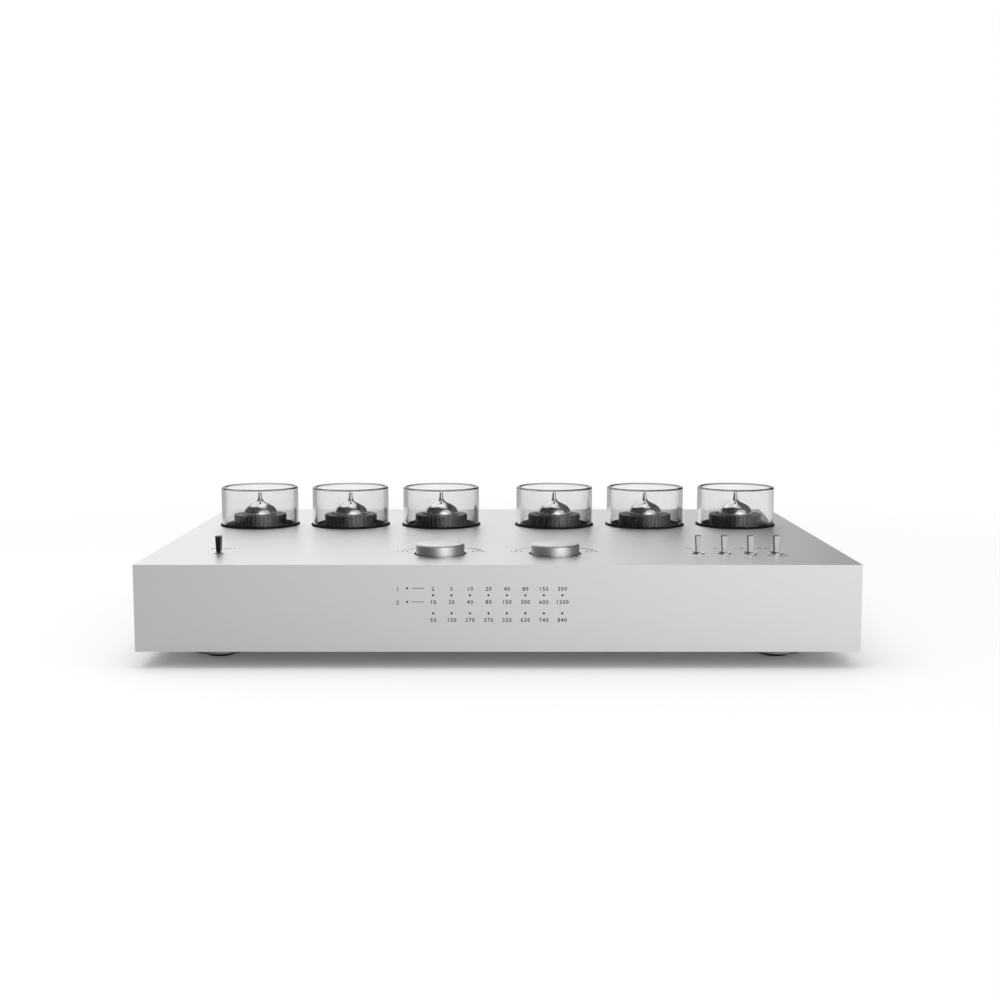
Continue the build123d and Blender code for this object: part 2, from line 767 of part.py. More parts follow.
# ---------------------------------------------------------------- every node
def main():
    write("front_panel", front_panel())
    write("top_plate", top_plate())
    write("side_panel_left", side_panel(-1))
    write("side_panel_right", side_panel(1))
    write("rear_panel", rear_panel())
    write("bottom_plate", bottom_plate())
    write("corner_blocks", corner_blocks())
    write("case_screws", case_screws())
    write("foot_discs", foot_discs())
    write("foot_pads", foot_pads())
    write("valve_seats", valve_seats())
    write("valve_sockets", valve_sockets())
    write("valve_board", valve_board())
    write("signal_board", signal_board_assembly())
    write("supply_board", flat_board(supply_board_x, supply_board_width))
    write("reservoir_capacitors", reservoir_capacitors())
    write("board_standoffs", board_standoffs())
    write("power_transformer", power_transformer())
    write("transformer_clamp", transformer_clamp())
    write("display_board", display_board())
    write("indicator_lamps", indicator_lamps())
    write("mains_inlet", mains_inlet())
    write("mains_blades", mains_blades())
    write("fuse_drawer", fuse_drawer())
    write("fuse", fuse())
    write("signal_sleeves", signal_sleeves())
    write("signal_insulators", signal_insulators())
    write("ground_stud", ground_stud())
    write("ground_washer", ground_washer())
    write("ground_nut", ground_nut())
    write("rotary_switches", rotary_switches())
    write("toggle_switches", toggle_switches())
    write("toggle_bezels", toggle_bezels())
    for side, sx in (("left", -1), ("right", 1)):
        place = Pos(sx * selector_offset, selector_y, 0)
        write("knob_" + side, place * knob())
        write("shaft_" + side, place * selector_shaft())
    for i, x in enumerate(toggle_xs()):
        write("lever_power" if i == 0 else "lever_%d" % i, Pos(x, toggle_y, 0) * lever())
    for i, x in enumerate(station_xs(), start=1):
        place = Pos(x, station_y, 0)
        write("chimney_%d" % i, place * chimney())
        write("valve_%d" % i, place * valve())
        write("damper_%d" % i, place * damper())


main()
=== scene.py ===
# %% [markdown]
# # A phono preamplifier with six glass chimneys
# A flat case of satin aluminium carries six valves in open glass chimneys, two selectors and five
# small toggle switches. Rows of plain numbers with tiny lamps on its front show what was chosen. The
# frame comes ready; this lesson gives it its finishes and models what needs finer shapes: glass,
# silvered bulbs, fins, knobs and print.

# %% Load the frame
import json
import math

import bmesh
import bpy
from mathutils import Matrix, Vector


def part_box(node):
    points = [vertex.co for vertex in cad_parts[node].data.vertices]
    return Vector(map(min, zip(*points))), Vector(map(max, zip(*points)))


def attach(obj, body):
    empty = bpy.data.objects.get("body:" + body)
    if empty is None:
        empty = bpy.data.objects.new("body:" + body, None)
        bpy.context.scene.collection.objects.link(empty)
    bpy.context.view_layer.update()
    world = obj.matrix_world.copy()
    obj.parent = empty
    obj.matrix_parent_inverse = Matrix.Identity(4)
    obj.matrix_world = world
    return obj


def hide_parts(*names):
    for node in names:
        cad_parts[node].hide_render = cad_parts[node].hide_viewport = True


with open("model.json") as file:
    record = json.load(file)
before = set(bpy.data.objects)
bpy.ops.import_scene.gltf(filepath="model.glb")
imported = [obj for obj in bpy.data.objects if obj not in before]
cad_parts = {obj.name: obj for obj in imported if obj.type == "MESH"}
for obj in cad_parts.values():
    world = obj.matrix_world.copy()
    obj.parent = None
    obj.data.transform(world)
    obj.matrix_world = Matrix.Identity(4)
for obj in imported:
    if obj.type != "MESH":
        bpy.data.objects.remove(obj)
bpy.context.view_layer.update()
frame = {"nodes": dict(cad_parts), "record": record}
bpy.ops.object.select_all(action="DESELECT")
scene = bpy.context.scene
nodes_of_frame = frame["nodes"]
print("nodes in the frame:", len(nodes_of_frame))

# %% [markdown]
# Places are read from the frame where they can be, so that a piece sits on what carries it. Sizes are
# given in millimetres, while the scene is in metres.

# %% Places that the pieces stand on
MM = 0.001


def corners_of(node):
    """The lowest and the highest corner of a node's box."""
    return [Vector(corner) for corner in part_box(node)]


def middle_of(node):
    low, high = corners_of(node)
    return (low + high) / 2


def bottom_of(node):
    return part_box(node)[0][2]


def top_of(node):
    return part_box(node)[1][2]


def half_width_of(node):
    low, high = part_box(node)
    return (high[0] - low[0]) / 2


STATIONS = [middle_of(name) for name in sorted(nodes_of_frame) if name.startswith("chimney_")]
PLATE_TOP = top_of("top_plate")
FRONT_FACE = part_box("front_panel")[0][1]
REAR_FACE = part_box("rear_panel")[1][1]
CASE_BOTTOM = bottom_of("front_panel")
print("stations at x:", [round(place.x / MM, 1) for place in STATIONS])

# %% [markdown]
# ## Tools for modelling
# A turned part is modelled as on a lathe: a circle is drawn on the first ring of its profile, then
# extruded and resized ring by ring. That keeps clean rings of quads, which shade smoothly.

# %% Modelling tools
WELD = 0.001 * MM


def begin(name):
    """Name the primitive just added and select all of it in edit mode."""
    piece = bpy.context.object
    piece.name = piece.data.name = name
    bpy.ops.object.mode_set(mode="EDIT")
    bpy.ops.mesh.select_all(action="SELECT")
    return piece


def smooth(degrees):
    """Smooth the active piece, except at edges sharper than an angle."""
    bpy.ops.object.shade_smooth_by_angle(angle=math.radians(degrees))


def done(crease=30):
    """Merge doubles, turn the faces outwards, leave edit mode and smooth all but sharp edges."""
    bpy.ops.mesh.select_all(action="SELECT")
    bpy.ops.mesh.remove_doubles(threshold=WELD)
    bpy.ops.mesh.normals_make_consistent(inside=False)
    bpy.ops.object.mode_set(mode="OBJECT")
    bpy.ops.object.transform_apply(location=True, rotation=True, scale=True)
    smooth(crease)


def box(name, size):
    """A box round the origin, left in edit mode with all of it selected."""
    bpy.ops.mesh.primitive_cube_add(size=1, location=(0, 0, 0))
    piece = begin(name)
    bpy.ops.transform.resize(value=size)
    return piece


def pick(kind, wanted):
    """In edit mode, select only the items whose middle passes a test."""
    bpy.ops.mesh.select_mode(type=kind)
    bpy.ops.mesh.select_all(action="DESELECT")
    shape = bmesh.from_edit_mesh(bpy.context.object.data)
    items = {"VERT": shape.verts, "EDGE": shape.edges, "FACE": shape.faces}[kind]
    for item in items:
        corners = [item] if kind == "VERT" else item.verts
        item.select_set(wanted(sum((v.co for v in corners), Vector()) / len(corners)))
    bmesh.update_edit_mesh(bpy.context.object.data)


def widen(share):
    """In edit mode, resize what is selected outwards from the Z axis."""
    bpy.ops.transform.resize(value=(share, share, 1), center_override=(0, 0, 0))


def only(piece):
    """Make one piece the selected and active one."""
    bpy.ops.object.select_all(action="DESELECT")
    piece.select_set(True)
    bpy.context.view_layer.objects.active = piece


def modified(piece, kind, **settings):
    """Give a piece a modifier and apply it."""
    only(piece)
    modifier = piece.modifiers.new(kind.title(), kind)
    for setting, value in settings.items():
        setattr(modifier, setting, value)
    bpy.ops.object.modifier_apply(modifier=modifier.name)
    return piece


def turned(name, profile, segments=64, crease=30, closed=False):
    """A part turned about Z from (radius, height) points in mm; closed joins the last to the first."""
    radius, height = profile[0]
    bpy.ops.mesh.primitive_circle_add(vertices=segments, radius=radius * MM)
    piece = begin(name)
    bpy.ops.transform.translate(value=(0, 0, height * MM))
    if not closed:
        bpy.ops.mesh.edge_face_add()
        pick("EDGE", lambda middle: True)
    for next_radius, next_height in profile[1:] + profile[:1] * closed:
        bpy.ops.mesh.extrude_edges_move()
        bpy.ops.transform.translate(value=(0, 0, (next_height - height) * MM))
        widen(next_radius / radius)
        radius, height = next_radius, next_height
    if not closed:
        bpy.ops.mesh.edge_face_add()
    done(crease)
    return piece


def arc(centre, radius, start, end, steps):
    """Points (radius, height) on an arc of a profile, between two angles in degrees."""
    angles = [math.radians(start + (end - start) * i / steps) for i in range(steps + 1)]
    return [(centre[0] + radius * math.cos(a), centre[1] + radius * math.sin(a)) for a in angles]


def placed(piece, x, y, z=0.0, about=None):
    """Move a piece's own vertices, optionally after a turn, so that its object stays at the origin."""
    if about:
        only(piece)
        angle, axis = about
        piece.rotation_euler = [angle if letter == axis else 0 for letter in "XYZ"]
        bpy.ops.object.transform_apply(location=False, rotation=True, scale=False)
    for vertex in piece.data.vertices:
        vertex.co += Vector((x, y, z))
    piece.data.update()
    return piece


def copy_of(piece, name):
    """A copy with a mesh of its own."""
    twin = piece.copy()
    twin.data = piece.data.copy()
    twin.name = twin.data.name = name
    scene.collection.objects.link(twin)
    return twin


def joined(name, parts):
    """Several meshes as one piece."""
    only(parts[0])
    for part in parts:
        part.select_set(True)
    if len(parts) > 1:
        bpy.ops.object.join()
    parts[0].name = parts[0].data.name = name
    return parts[0]


def remove(*patterns):
    """Delete what only served to be copied or to cut."""
    for pattern in patterns:
        bpy.data.objects.remove(pattern)


BODIES = frame["record"]["behaviour"]["bodies"]
BODY_OF = {node: body for body, members in BODIES.items() for node in members}


def dressed(piece, material, node, stands_in=True):
    """Give a piece its material and a node's body; it stands in for the node or lies on it."""
    choices = [face.material_index for face in piece.data.polygons]
    piece.data.materials.clear()
    for one in material if isinstance(material, list) else [material]:
        piece.data.materials.append(one)
    piece.data.polygons.foreach_set("material_index", choices)
    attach(piece, BODY_OF[node])
    if stands_in:
        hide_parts(node)
    return piece


# %% [markdown]
# ## Finishes
# Each finish is a Principled shader whose colour, roughness and bump vary a little, as on a real
# surface. The noise reads Object coordinates, so a grain keeps its size on small and large pieces.
# Stretching the same noise along X turns it into the fine lines of brushed metal.

# %% The basic finish
COLOUR_STOPS = (0.3, 0.7)
GRAIN_DEPTH = 0.1 * MM


def with_inputs(node, **inputs):
    """Set inputs of a shader node by name, with _ for each space."""
    for socket, value in inputs.items():
        node.inputs[socket.replace("_", " ")].default_value = value
    return node


def new_node(nodes, kind, **inputs):
    """Add a shader node and set its inputs."""
    return with_inputs(nodes.new("ShaderNode" + kind), **inputs)


def wire(source, output, target, socket):
    """Link an output of one shader node to a socket of another."""
    source.id_data.links.new(source.outputs[output], target.inputs[socket])


def new_material(name):
    """A new material, its nodes and its Principled shader."""
    material = bpy.data.materials.new(name)
    material.use_nodes = True
    nodes = material.node_tree.nodes
    return material, nodes, nodes["Principled BSDF"]


def rgba(colour):
    """An opaque colour from three values, or a grey from one."""
    return (*colour, 1) if isinstance(colour, tuple) else (colour, colour, colour, 1)


def finish(name, dark, light, metallic, roughness, spread=0.06, grain=900, stretch=(1, 1, 1), bump=0.02,
           gloss=0.5):
    """A finish between two colours, with a grain in colour, roughness and bump."""
    material, nodes, shader = new_material(name)
    with_inputs(shader, Metallic=metallic, Specular_IOR_Level=gloss)
    place = new_node(nodes, "TexCoord")
    stretcher = new_node(nodes, "Mapping", Scale=stretch)
    noise = new_node(nodes, "TexNoise", Scale=grain, Detail=4)
    tint = new_node(nodes, "ValToRGB")
    for stop, colour, position in zip(tint.color_ramp.elements, (dark, light), COLOUR_STOPS):
        stop.color = rgba(colour)
        stop.position = position
    shine = new_node(nodes, "MapRange", To_Min=roughness - spread, To_Max=roughness + spread)
    relief = new_node(nodes, "Bump", Strength=bump, Distance=GRAIN_DEPTH)
    wire(place, "Object", stretcher, "Vector")
    wire(stretcher, "Vector", noise, "Vector")
    wire(noise, "Fac", tint, "Fac")
    wire(tint, "Color", shader, "Base Color")
    wire(noise, "Fac", shine, "Value")
    wire(shine, "Result", shader, "Roughness")
    wire(noise, "Fac", relief, "Height")
    wire(relief, "Normal", shader, "Normal")
    return material


# %% [markdown]
# The case is a pale anodised aluminium that blurs what it mirrors, brushed very lightly from side to
# side. The knobs are nearly the same metal turned on a lathe, so their grain runs round their middle.

# %% Metals
satin_aluminium = finish("satin_aluminium", (0.81, 0.82, 0.81), (0.82, 0.83, 0.82), 1, 0.42, 0.006, 700,
                         (0.08, 1, 1), 0.002)
inner_aluminium = finish("inner_aluminium", 0.62, 0.68, 1, 0.42, 0.06, 700, (0.1, 1, 1), 0.05)
foot_aluminium = finish("foot_aluminium", 0.50, 0.56, 1, 0.30, 0.05, 1200, (1, 1, 0.1), 0.04)
black_anodised = finish("black_anodised", 0.085, 0.105, 0.85, 0.42, 0.05, 1500, bump=0.05, gloss=0.3)
chrome = finish("chrome", 0.80, 0.86, 1, 0.12, 0.03, 400)
satin_nickel = finish("satin_nickel", 0.62, 0.66, 1, 0.32, 0.03, 900)
steel = finish("steel", 0.45, 0.55, 1, 0.30, 0.08, 900)
screw_black = finish("screw_black", 0.025, 0.05, 0.8, 0.42, 0.06, 1500, bump=0.1)
gold = finish("gold_plating", (0.78, 0.58, 0.25), (0.86, 0.66, 0.32), 1, 0.16, 0.04, 600)
anode_grey = finish("anode_grey", 0.30, 0.38, 0.9, 0.38, 0.08, 600)
print("metals:", len(bpy.data.materials))

# %% [markdown]
# Rubber is rough and dark, moulded plastic has a fine grain, and a circuit board is green lacquer
# over glass cloth.

# %% Plastics and rubber
seat_rubber = finish("seat_rubber", 0.010, 0.018, 0, 0.70, 0.06, 1800, bump=0.10, gloss=0.08)
foot_rubber = finish("foot_rubber", 0.012, 0.025, 0, 0.75, 0.08, 1800, bump=0.25)
black_paddle = finish("black_paddle", 0.006, 0.012, 0, 0.13, 0.03, 900, gloss=0.2)
inlet_plastic = finish("inlet_plastic", 0.014, 0.024, 0, 0.48, 0.06, 2200, bump=0.15)
white_insulator = finish("white_insulator", 0.72, 0.80, 0, 0.35, 0.05, 900)
red_insulator = finish("red_insulator", (0.42, 0.02, 0.02), (0.52, 0.035, 0.03), 0, 0.35, 0.05, 900)
ceramic = finish("ceramic", (0.70, 0.68, 0.62), (0.78, 0.76, 0.70), 0, 0.40, 0.08, 1200, bump=0.10)
board_green = finish("board_green", (0.010, 0.075, 0.030), (0.018, 0.11, 0.045), 0, 0.30, 0.06, 1200,
                     bump=0.15)
sleeve_black = finish("sleeve_black", 0.02, 0.035, 0, 0.33, 0.05, 500)
coil_tape = finish("coil_tape", (0.45, 0.33, 0.08), (0.56, 0.42, 0.12), 0, 0.38, 0.08, 350, (1, 1, 4), 0.2)
lamp_lens = finish("lamp_lens", 0.006, 0.012, 0, 0.20, 0.04, 900, gloss=0.2)
print_black = finish("print_black", 0.010, 0.020, 0, 0.60, 0.05, 2500, gloss=0.05)
print_grey = finish("print_grey", 0.030, 0.045, 0, 0.60, 0.05, 2500, gloss=0.05)

# %% [markdown]
# Clear glass bends light, so it needs the transmission of the shader and a wall with two sides. Lamps
# would cast a hard dark shadow through it; a transparent shader takes over for shadow rays only.

# %% Glass
GLASS_IOR = 1.5
SHADOW_TINT = 0.9


def clear_glass(name, tint, roughness=0.0):
    """Glass of a tint, which lets shadow rays through."""
    material, nodes, shader = new_material(name)
    with_inputs(shader, Base_Color=rgba(tint), Roughness=roughness, IOR=GLASS_IOR, Transmission_Weight=1)
    let_through = new_node(nodes, "BsdfTransparent", Color=rgba(SHADOW_TINT))
    rays = new_node(nodes, "LightPath")
    either = new_node(nodes, "MixShader")
    wire(rays, "Is Shadow Ray", either, "Fac")
    wire(shader, "BSDF", either, 1)
    wire(let_through, "BSDF", either, 2)
    wire(either, "Shader", nodes["Material Output"], "Surface")
    return material


chimney_glass = clear_glass("chimney_glass", (0.90, 0.91, 0.905))
# Glass for the chimney rims, tinted dark as painted shade for light running a long way inside the rim.
painted_shade_rim_glass = clear_glass("painted_shade_rim_glass", (0.33, 0.35, 0.34), 0.20)
bulb_glass = clear_glass("bulb_glass", (0.95, 0.96, 0.95))
fuse_glass = clear_glass("fuse_glass", (0.93, 0.95, 0.94))
silvered = finish("silvered", 0.62, 0.82, 1, 0.10, 0.04, 120)
print("finishes so far:", len(bpy.data.materials))

# %% [markdown]
# ## Case
# The frame's panels have the right shape, but real edges are never perfectly sharp: a thin bright line along
# them tells that a panel is metal. Each panel is copied, its triangles are merged into clean faces, and a
# fine bevel rounds its edges. The chamfers of the front and the top are first drawn out to full corners,
# because such a broad edge would show as a dark line. The faces of the recesses under the knobs are painted
# black as shade, so that each knob seems to float over a dark ring of painted shadow.

# %% Panels with fine edges
EDGE_ROUND = 0.06 * MM
EDGE_ANGLE = 40
FLAT_ANGLE = 0.5
CHAMFER = 0.55 * MM
FLAT_AREA = 4 * MM * MM


def edges_rounded(piece, width, crease):
    """Give every sharp edge of a piece a fine round."""
    sharp = math.radians(EDGE_ANGLE)
    modified(piece, "BEVEL", width=width, segments=2, limit_method="ANGLE", angle_limit=sharp)
    smooth(crease)


def squared(piece, node):
    """Draw the corners that lie just inside a node's box out to its sides."""
    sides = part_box(node)
    for vertex in piece.data.vertices:
        for axis in range(3):
            for corner in sides:
                if abs(vertex.co[axis] - corner[axis]) < CHAMFER:
                    vertex.co[axis] = corner[axis]


def softened(node, material, width=EDGE_ROUND, square=False):
    """A copy of a node's shape with finely rounded edges, in place of the node."""
    piece = bpy.data.objects.new(node + "_machined", nodes_of_frame[node].data.copy())
    scene.collection.objects.link(piece)
    only(piece)
    if square:
        squared(piece, node)
    bpy.ops.mesh.customdata_custom_splitnormals_clear()
    bpy.ops.object.mode_set(mode="EDIT")
    bpy.ops.mesh.select_all(action="SELECT")
    bpy.ops.mesh.remove_doubles(threshold=2 * WELD)
    bpy.ops.mesh.dissolve_limited(angle_limit=math.radians(FLAT_ANGLE))
    bpy.ops.object.mode_set(mode="OBJECT")
    edges_rounded(piece, width, 25)
    for face in piece.data.polygons:
        face.use_smooth = face.area < FLAT_AREA
    return dressed(piece, material, node)


RECESS_REACH = 18 * MM
RECESS_DEPTHS = (0.1 * MM, 2 * MM)
softened("front_panel", satin_aluminium, square=True)
for node in ("side_panel_left", "side_panel_right", "rear_panel"):
    softened(node, satin_aluminium)
plate = softened("top_plate", [satin_aluminium, black_anodised], square=True)
knob_centres = [middle_of("knob_left"), middle_of("knob_right")]
# Painted shade: the faces inside the recess under each knob take the black finish, standing for the shadow
# in the gap under the knob.
for face in plate.data.polygons:
    near = min((face.center - centre).xy.length for centre in knob_centres) < RECESS_REACH
    depth = PLATE_TOP - face.center.z
    face.material_index = int(near and RECESS_DEPTHS[0] < depth < RECESS_DEPTHS[1])
print("knob recesses blackened:", len(knob_centres))

# %% [markdown]
# ## Chimneys
# A chimney is a short length of glass tube with a fire-polished rim. Its wall is a closed profile, over the
# rim, down the inside, round the bottom and up the outside, so that light meets two surfaces as in real
# glass. The rim has a darker tint, a painted shade that stands for light running a long way inside it, and
# the foot is black where it touches its rubber seat.
# A ring of corners just short of each rounded end keeps the shading of the tall wall flat: without
# it the wall would bend light like a lens.

# %% Glass chimneys and their black seats
CHIMNEY_WALL = 2.75
RIM_ROUND = 1.2
FOOT_ROUND = 0.3
GLASS_LIFT = 0.03
HOLD = 0.15

chimney_radius = half_width_of("chimney_1") / MM
chimney_inside = chimney_radius - CHIMNEY_WALL
rim_top = top_of("chimney_1") / MM
glass_foot = bottom_of("chimney_1") / MM + GLASS_LIFT
hold_low, hold_high = glass_foot + FOOT_ROUND + HOLD, rim_top - RIM_ROUND - HOLD
wall_profile = (
    arc((chimney_radius - RIM_ROUND, rim_top - RIM_ROUND), RIM_ROUND, 0, 90, 6)
    + arc((chimney_inside + RIM_ROUND, rim_top - RIM_ROUND), RIM_ROUND, 90, 180, 6)
    + [(chimney_inside, hold_high), (chimney_inside, hold_low)]
    + arc((chimney_inside + FOOT_ROUND, glass_foot + FOOT_ROUND), FOOT_ROUND, 180, 270, 3)
    + arc((chimney_radius - FOOT_ROUND, glass_foot + FOOT_ROUND), FOOT_ROUND, 270, 360, 3)
    + [(chimney_radius, hold_low), (chimney_radius, hold_high)]
)
first_chimney = turned("glass_chimney", wall_profile, 96, closed=True)
# Painted shade: the rim faces take the dark tinted rim glass; the foot faces take the rubber.
for face in first_chimney.data.polygons:
    height = face.center.z / MM
    in_rim, in_foot = height > rim_top - RIM_ROUND, height < glass_foot + FOOT_ROUND
    face.material_index = 1 if in_rim else 2 if in_foot else 0

seat_radius = (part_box("valve_seats")[1][0] - STATIONS[-1].x) / MM
SEAT_HOLE = 12.6
SEAT_EDGE = 0.35
plate_top, seat_top = PLATE_TOP / MM, top_of("valve_seats") / MM
seat_profile = [(seat_radius, plate_top),
                *arc((seat_radius - SEAT_EDGE, seat_top - SEAT_EDGE), SEAT_EDGE, 0, 90, 3),
                (SEAT_HOLE, seat_top), (SEAT_HOLE, plate_top)]
first_seat = turned("seat", seat_profile, 96, closed=True)
seats = []
for number, place in enumerate(STATIONS, start=1):
    glass = placed(copy_of(first_chimney, f"glass_chimney_{number}"), place.x, place.y)
    dressed(glass, [chimney_glass, painted_shade_rim_glass, seat_rubber], f"chimney_{number}")
    seats.append(placed(copy_of(first_seat, f"seat_{number}"), place.x, place.y))
dressed(joined("chimney_seats", seats), seat_rubber, "valve_seats")
print("rims of the glass at, mm:", round(rim_top, 1))

# %% [markdown]
# ## Valves
# The top of each valve is silvered inside and drawn out into a thin nipple where the glass was
# sealed. The curve runs from round to hollow, so a coarse turned cage with a subdivision surface
# follows it better than many hand-placed rings. Below, the glass is clear and shows the anodes,
# which only come into sight when the valve is pulled out of its socket.

# %% Bulbs
BULB_CAGE = 1.017
SILVER_DEPTH = 3.0
PIN_LENGTH = 6.5
bulb_radius = half_width_of("valve_1") / MM
cage_radius = bulb_radius * BULB_CAGE
valve_low, valve_top = bottom_of("valve_1") / MM, top_of("valve_1") / MM
bulb_base = valve_low + PIN_LENGTH
dome_profile = [
    (8.7, bulb_base), (11.1, bulb_base + 0.5), (cage_radius, bulb_base + 3), (cage_radius, plate_top - 4),
    (cage_radius, plate_top + 5.5), (cage_radius + 0.45, plate_top + 8.9), (11.75, plate_top + 11.3),
    (9.7, plate_top + 13.9), (6.1, plate_top + 15.8), (2.7, plate_top + 17.1), (1.6, plate_top + 18.6),
    (1.42, plate_top + 20.6), (1.3, valve_top - 0.7), (1.1, valve_top - 0.1), (0.35, valve_top),
]
first_bulb = modified(turned("bulb", dome_profile, 24, 180), "SUBSURF", levels=2, render_levels=2)
bpy.ops.object.shade_smooth()
for face in first_bulb.data.polygons:
    face.material_index = int(face.center.z > (plate_top - SILVER_DEPTH) * MM)
print("bulb faces:", len(first_bulb.data.polygons))

# %% Base pins, micas and anodes
PIN_RADIUS = 0.5
PIN_TAPER = 0.4
PIN_CIRCLE = 5.95
PIN_STEPS = 10
PIN_SUNK = 2
pin_profile = [(PIN_RADIUS * 0.5, valve_low), (PIN_RADIUS, valve_low + PIN_TAPER),
               (PIN_RADIUS, bulb_base + PIN_SUNK)]
pin = turned("pin", pin_profile, 12)
pins = []
for step in range(PIN_STEPS - 1):
    turn = 2 * math.pi * step / PIN_STEPS
    x, y = PIN_CIRCLE * MM * math.cos(turn), PIN_CIRCLE * MM * math.sin(turn)
    pins.append(placed(copy_of(pin, "pin"), x, y))
remove(pin)
first_pins = joined("pins", pins)

MICA_RADIUS, MICA_THICKNESS = 9.6, 0.4
MICA_RISE, MICA_GAP = 5.0, 1.2
ANODE_SIZE = (5.5, 8.5, 17.0)
ANODE_SPREAD = 3.7
ANODE_INSET, ANODE_SWELL = 1.4, 1.25
mica_levels = (bulb_base + MICA_RISE, bulb_base + MICA_RISE + ANODE_SIZE[2] + MICA_GAP)
inner = [turned("mica", [(MICA_RADIUS, level), (MICA_RADIUS, level + MICA_THICKNESS)], 24)
         for level in mica_levels]
for side in (-1, 1):
    anode = box("anode", [length * MM for length in ANODE_SIZE])
    pick("FACE", lambda middle: abs(middle.x) > ANODE_SIZE[0] * MM * 0.4)
    bpy.ops.mesh.inset(thickness=ANODE_INSET * MM)
    bpy.ops.transform.resize(value=(ANODE_SWELL, 1, 1))
    done()
    rise = mica_levels[0] + MICA_THICKNESS + ANODE_SIZE[2] / 2
    inner.append(placed(anode, side * ANODE_SPREAD * MM, 0, rise * MM))
first_inner = joined("electrodes", inner)
print("pins of a valve:", len(pins))

# %% [markdown]
# ## Dampers
# A finned ring of black anodised aluminium grips each bulb. It starts as a turned ring with eight
# corners for each fin; every eighth row of corners is then drawn in towards the middle, which cuts
# narrow V grooves from top to bottom.

# %% Finned dampers
FIN_COUNT = 40
CORNERS = 8
DAMPER_RADIUS = 18.85
GROOVE_DEPTH = 3.0
DAMPER_EDGE = 0.5
DAMPER_GAP = 0.15
DAMPER_LIFT = 0.02
STEP_DEPTH = 0.6
damper_low, damper_high = bottom_of("damper_1") / MM, top_of("damper_1") / MM
damper_inside = bulb_radius + DAMPER_GAP
damper_foot, step_level = damper_low + DAMPER_LIFT, damper_high - STEP_DEPTH
fin_profile = [(DAMPER_RADIUS, damper_foot), (DAMPER_RADIUS, damper_high - DAMPER_EDGE),
               (DAMPER_RADIUS - DAMPER_EDGE, damper_high), (damper_inside + 2.2, damper_high),
               (damper_inside + 1.4, step_level), (damper_inside, step_level), (damper_inside, damper_foot)]
first_damper = turned("damper", fin_profile, FIN_COUNT * CORNERS, closed=True)


def grooved(piece, rows, every, rim, share, crease):
    """Draw one row in every few rows of corners on the rim in towards the middle."""

    def in_groove(middle):
        row = round(math.atan2(middle.y, middle.x) / (2 * math.pi) * rows)
        return row % every == every - 1 and math.hypot(middle.x, middle.y) > rim * MM

    only(piece)
    bpy.ops.object.mode_set(mode="EDIT")
    pick("VERT", in_groove)
    widen(share)
    done(crease)


groove_share = (DAMPER_RADIUS - GROOVE_DEPTH) / DAMPER_RADIUS
grooved(first_damper, FIN_COUNT * CORNERS, CORNERS, DAMPER_RADIUS - 1, groove_share, 20)
print("damper faces:", len(first_damper.data.polygons))

# %% Valves and dampers in their stations
VALVE_PARTS = (
    (first_bulb, "bulb", [bulb_glass, silvered], "valve"), (first_pins, "base_pins", steel, "valve"),
    (first_inner, "electrodes", anode_grey, "valve"),
    (first_damper, "finned_damper", black_anodised, "damper"),
)
for number, place in enumerate(STATIONS, start=1):
    for pattern, name, material, node in VALVE_PARTS:
        part = placed(copy_of(pattern, f"{name}_{number}"), place.x, place.y)
        dressed(part, material, f"{node}_{number}")
remove(first_chimney, first_seat, first_bulb, first_pins, first_inner, first_damper)
print("six valves with", FIN_COUNT, "fins on each damper")

# %% [markdown]
# ## Selectors
# A knob is a thick turned disc with a bevelled rim, sunk a little into a round recess. A cutter
# shaped like a small key takes the pointer notch out of its rim. A lathe leaves fine rings on the
# metal, so the noise of this finish is read by the distance from the middle of the knob.

# %% Turned metal
RING_WAVES = 2600


def turned_metal(name, centre, value, roughness):
    """Metal with fine rings round a centre: the distance from it and the height feed the noise."""
    material = finish(name, value - 0.01, value, 1, roughness, 0.02, RING_WAVES, bump=0.01)
    nodes = material.node_tree.nodes
    shift = with_inputs(nodes["Mapping"], Location=(-centre.x, -centre.y, 0))
    parts = new_node(nodes, "SeparateXYZ")
    flat = new_node(nodes, "CombineXYZ")
    distance = new_node(nodes, "VectorMath")
    distance.operation = "LENGTH"
    both = new_node(nodes, "CombineXYZ")
    wire(shift, "Vector", parts, "Vector")
    wire(parts, "X", flat, "X")
    wire(parts, "Y", flat, "Y")
    wire(flat, "Vector", distance, 0)
    wire(distance, "Value", both, "X")
    wire(parts, "Z", both, "Y")
    wire(both, "Vector", nodes["Noise Texture"], "Vector")
    return material


# %% Knobs
KNOB_BEVEL = 0.8
KNOB_EDGE = 0.15
KNOB_GREY, KNOB_ROUGHNESS = 0.80, 0.42
NOTCH = (4.8, 1.3, 1.3)
NOTCH_TURN = math.radians(29)
knob_radius = half_width_of("knob_left") / MM
knob_low, knob_high = bottom_of("knob_left") / MM, top_of("knob_left") / MM
knob_profile = [
    (knob_radius - 0.4, knob_low), (knob_radius, knob_low + 0.4),
    (knob_radius, knob_high - KNOB_BEVEL - KNOB_EDGE), (knob_radius - 0.05, knob_high - KNOB_BEVEL),
    (knob_radius - KNOB_BEVEL, knob_high - 0.05), (knob_radius - KNOB_BEVEL - KNOB_EDGE, knob_high),
    (3, knob_high),
]
first_knob = turned("knob", knob_profile, 128, 25)
cutter = box("notch_cutter", [length * MM for length in NOTCH])
done()
placed(cutter, knob_radius * MM, 0, knob_high * MM)
placed(cutter, 0, 0, 0, about=(NOTCH_TURN, "Z"))
modified(first_knob, "BOOLEAN", object=cutter, operation="DIFFERENCE", solver="EXACT")
smooth(25)
for side in ("left", "right"):
    centre = middle_of("knob_" + side)
    knob = placed(copy_of(first_knob, f"selector_knob_{side}"), centre.x, centre.y)
    metal = turned_metal(f"knob_metal_{side}", centre, KNOB_GREY, KNOB_ROUGHNESS)
    dressed(knob, metal, f"knob_{side}")
remove(cutter, first_knob)
print("knob radius, mm:", round(knob_radius, 2))
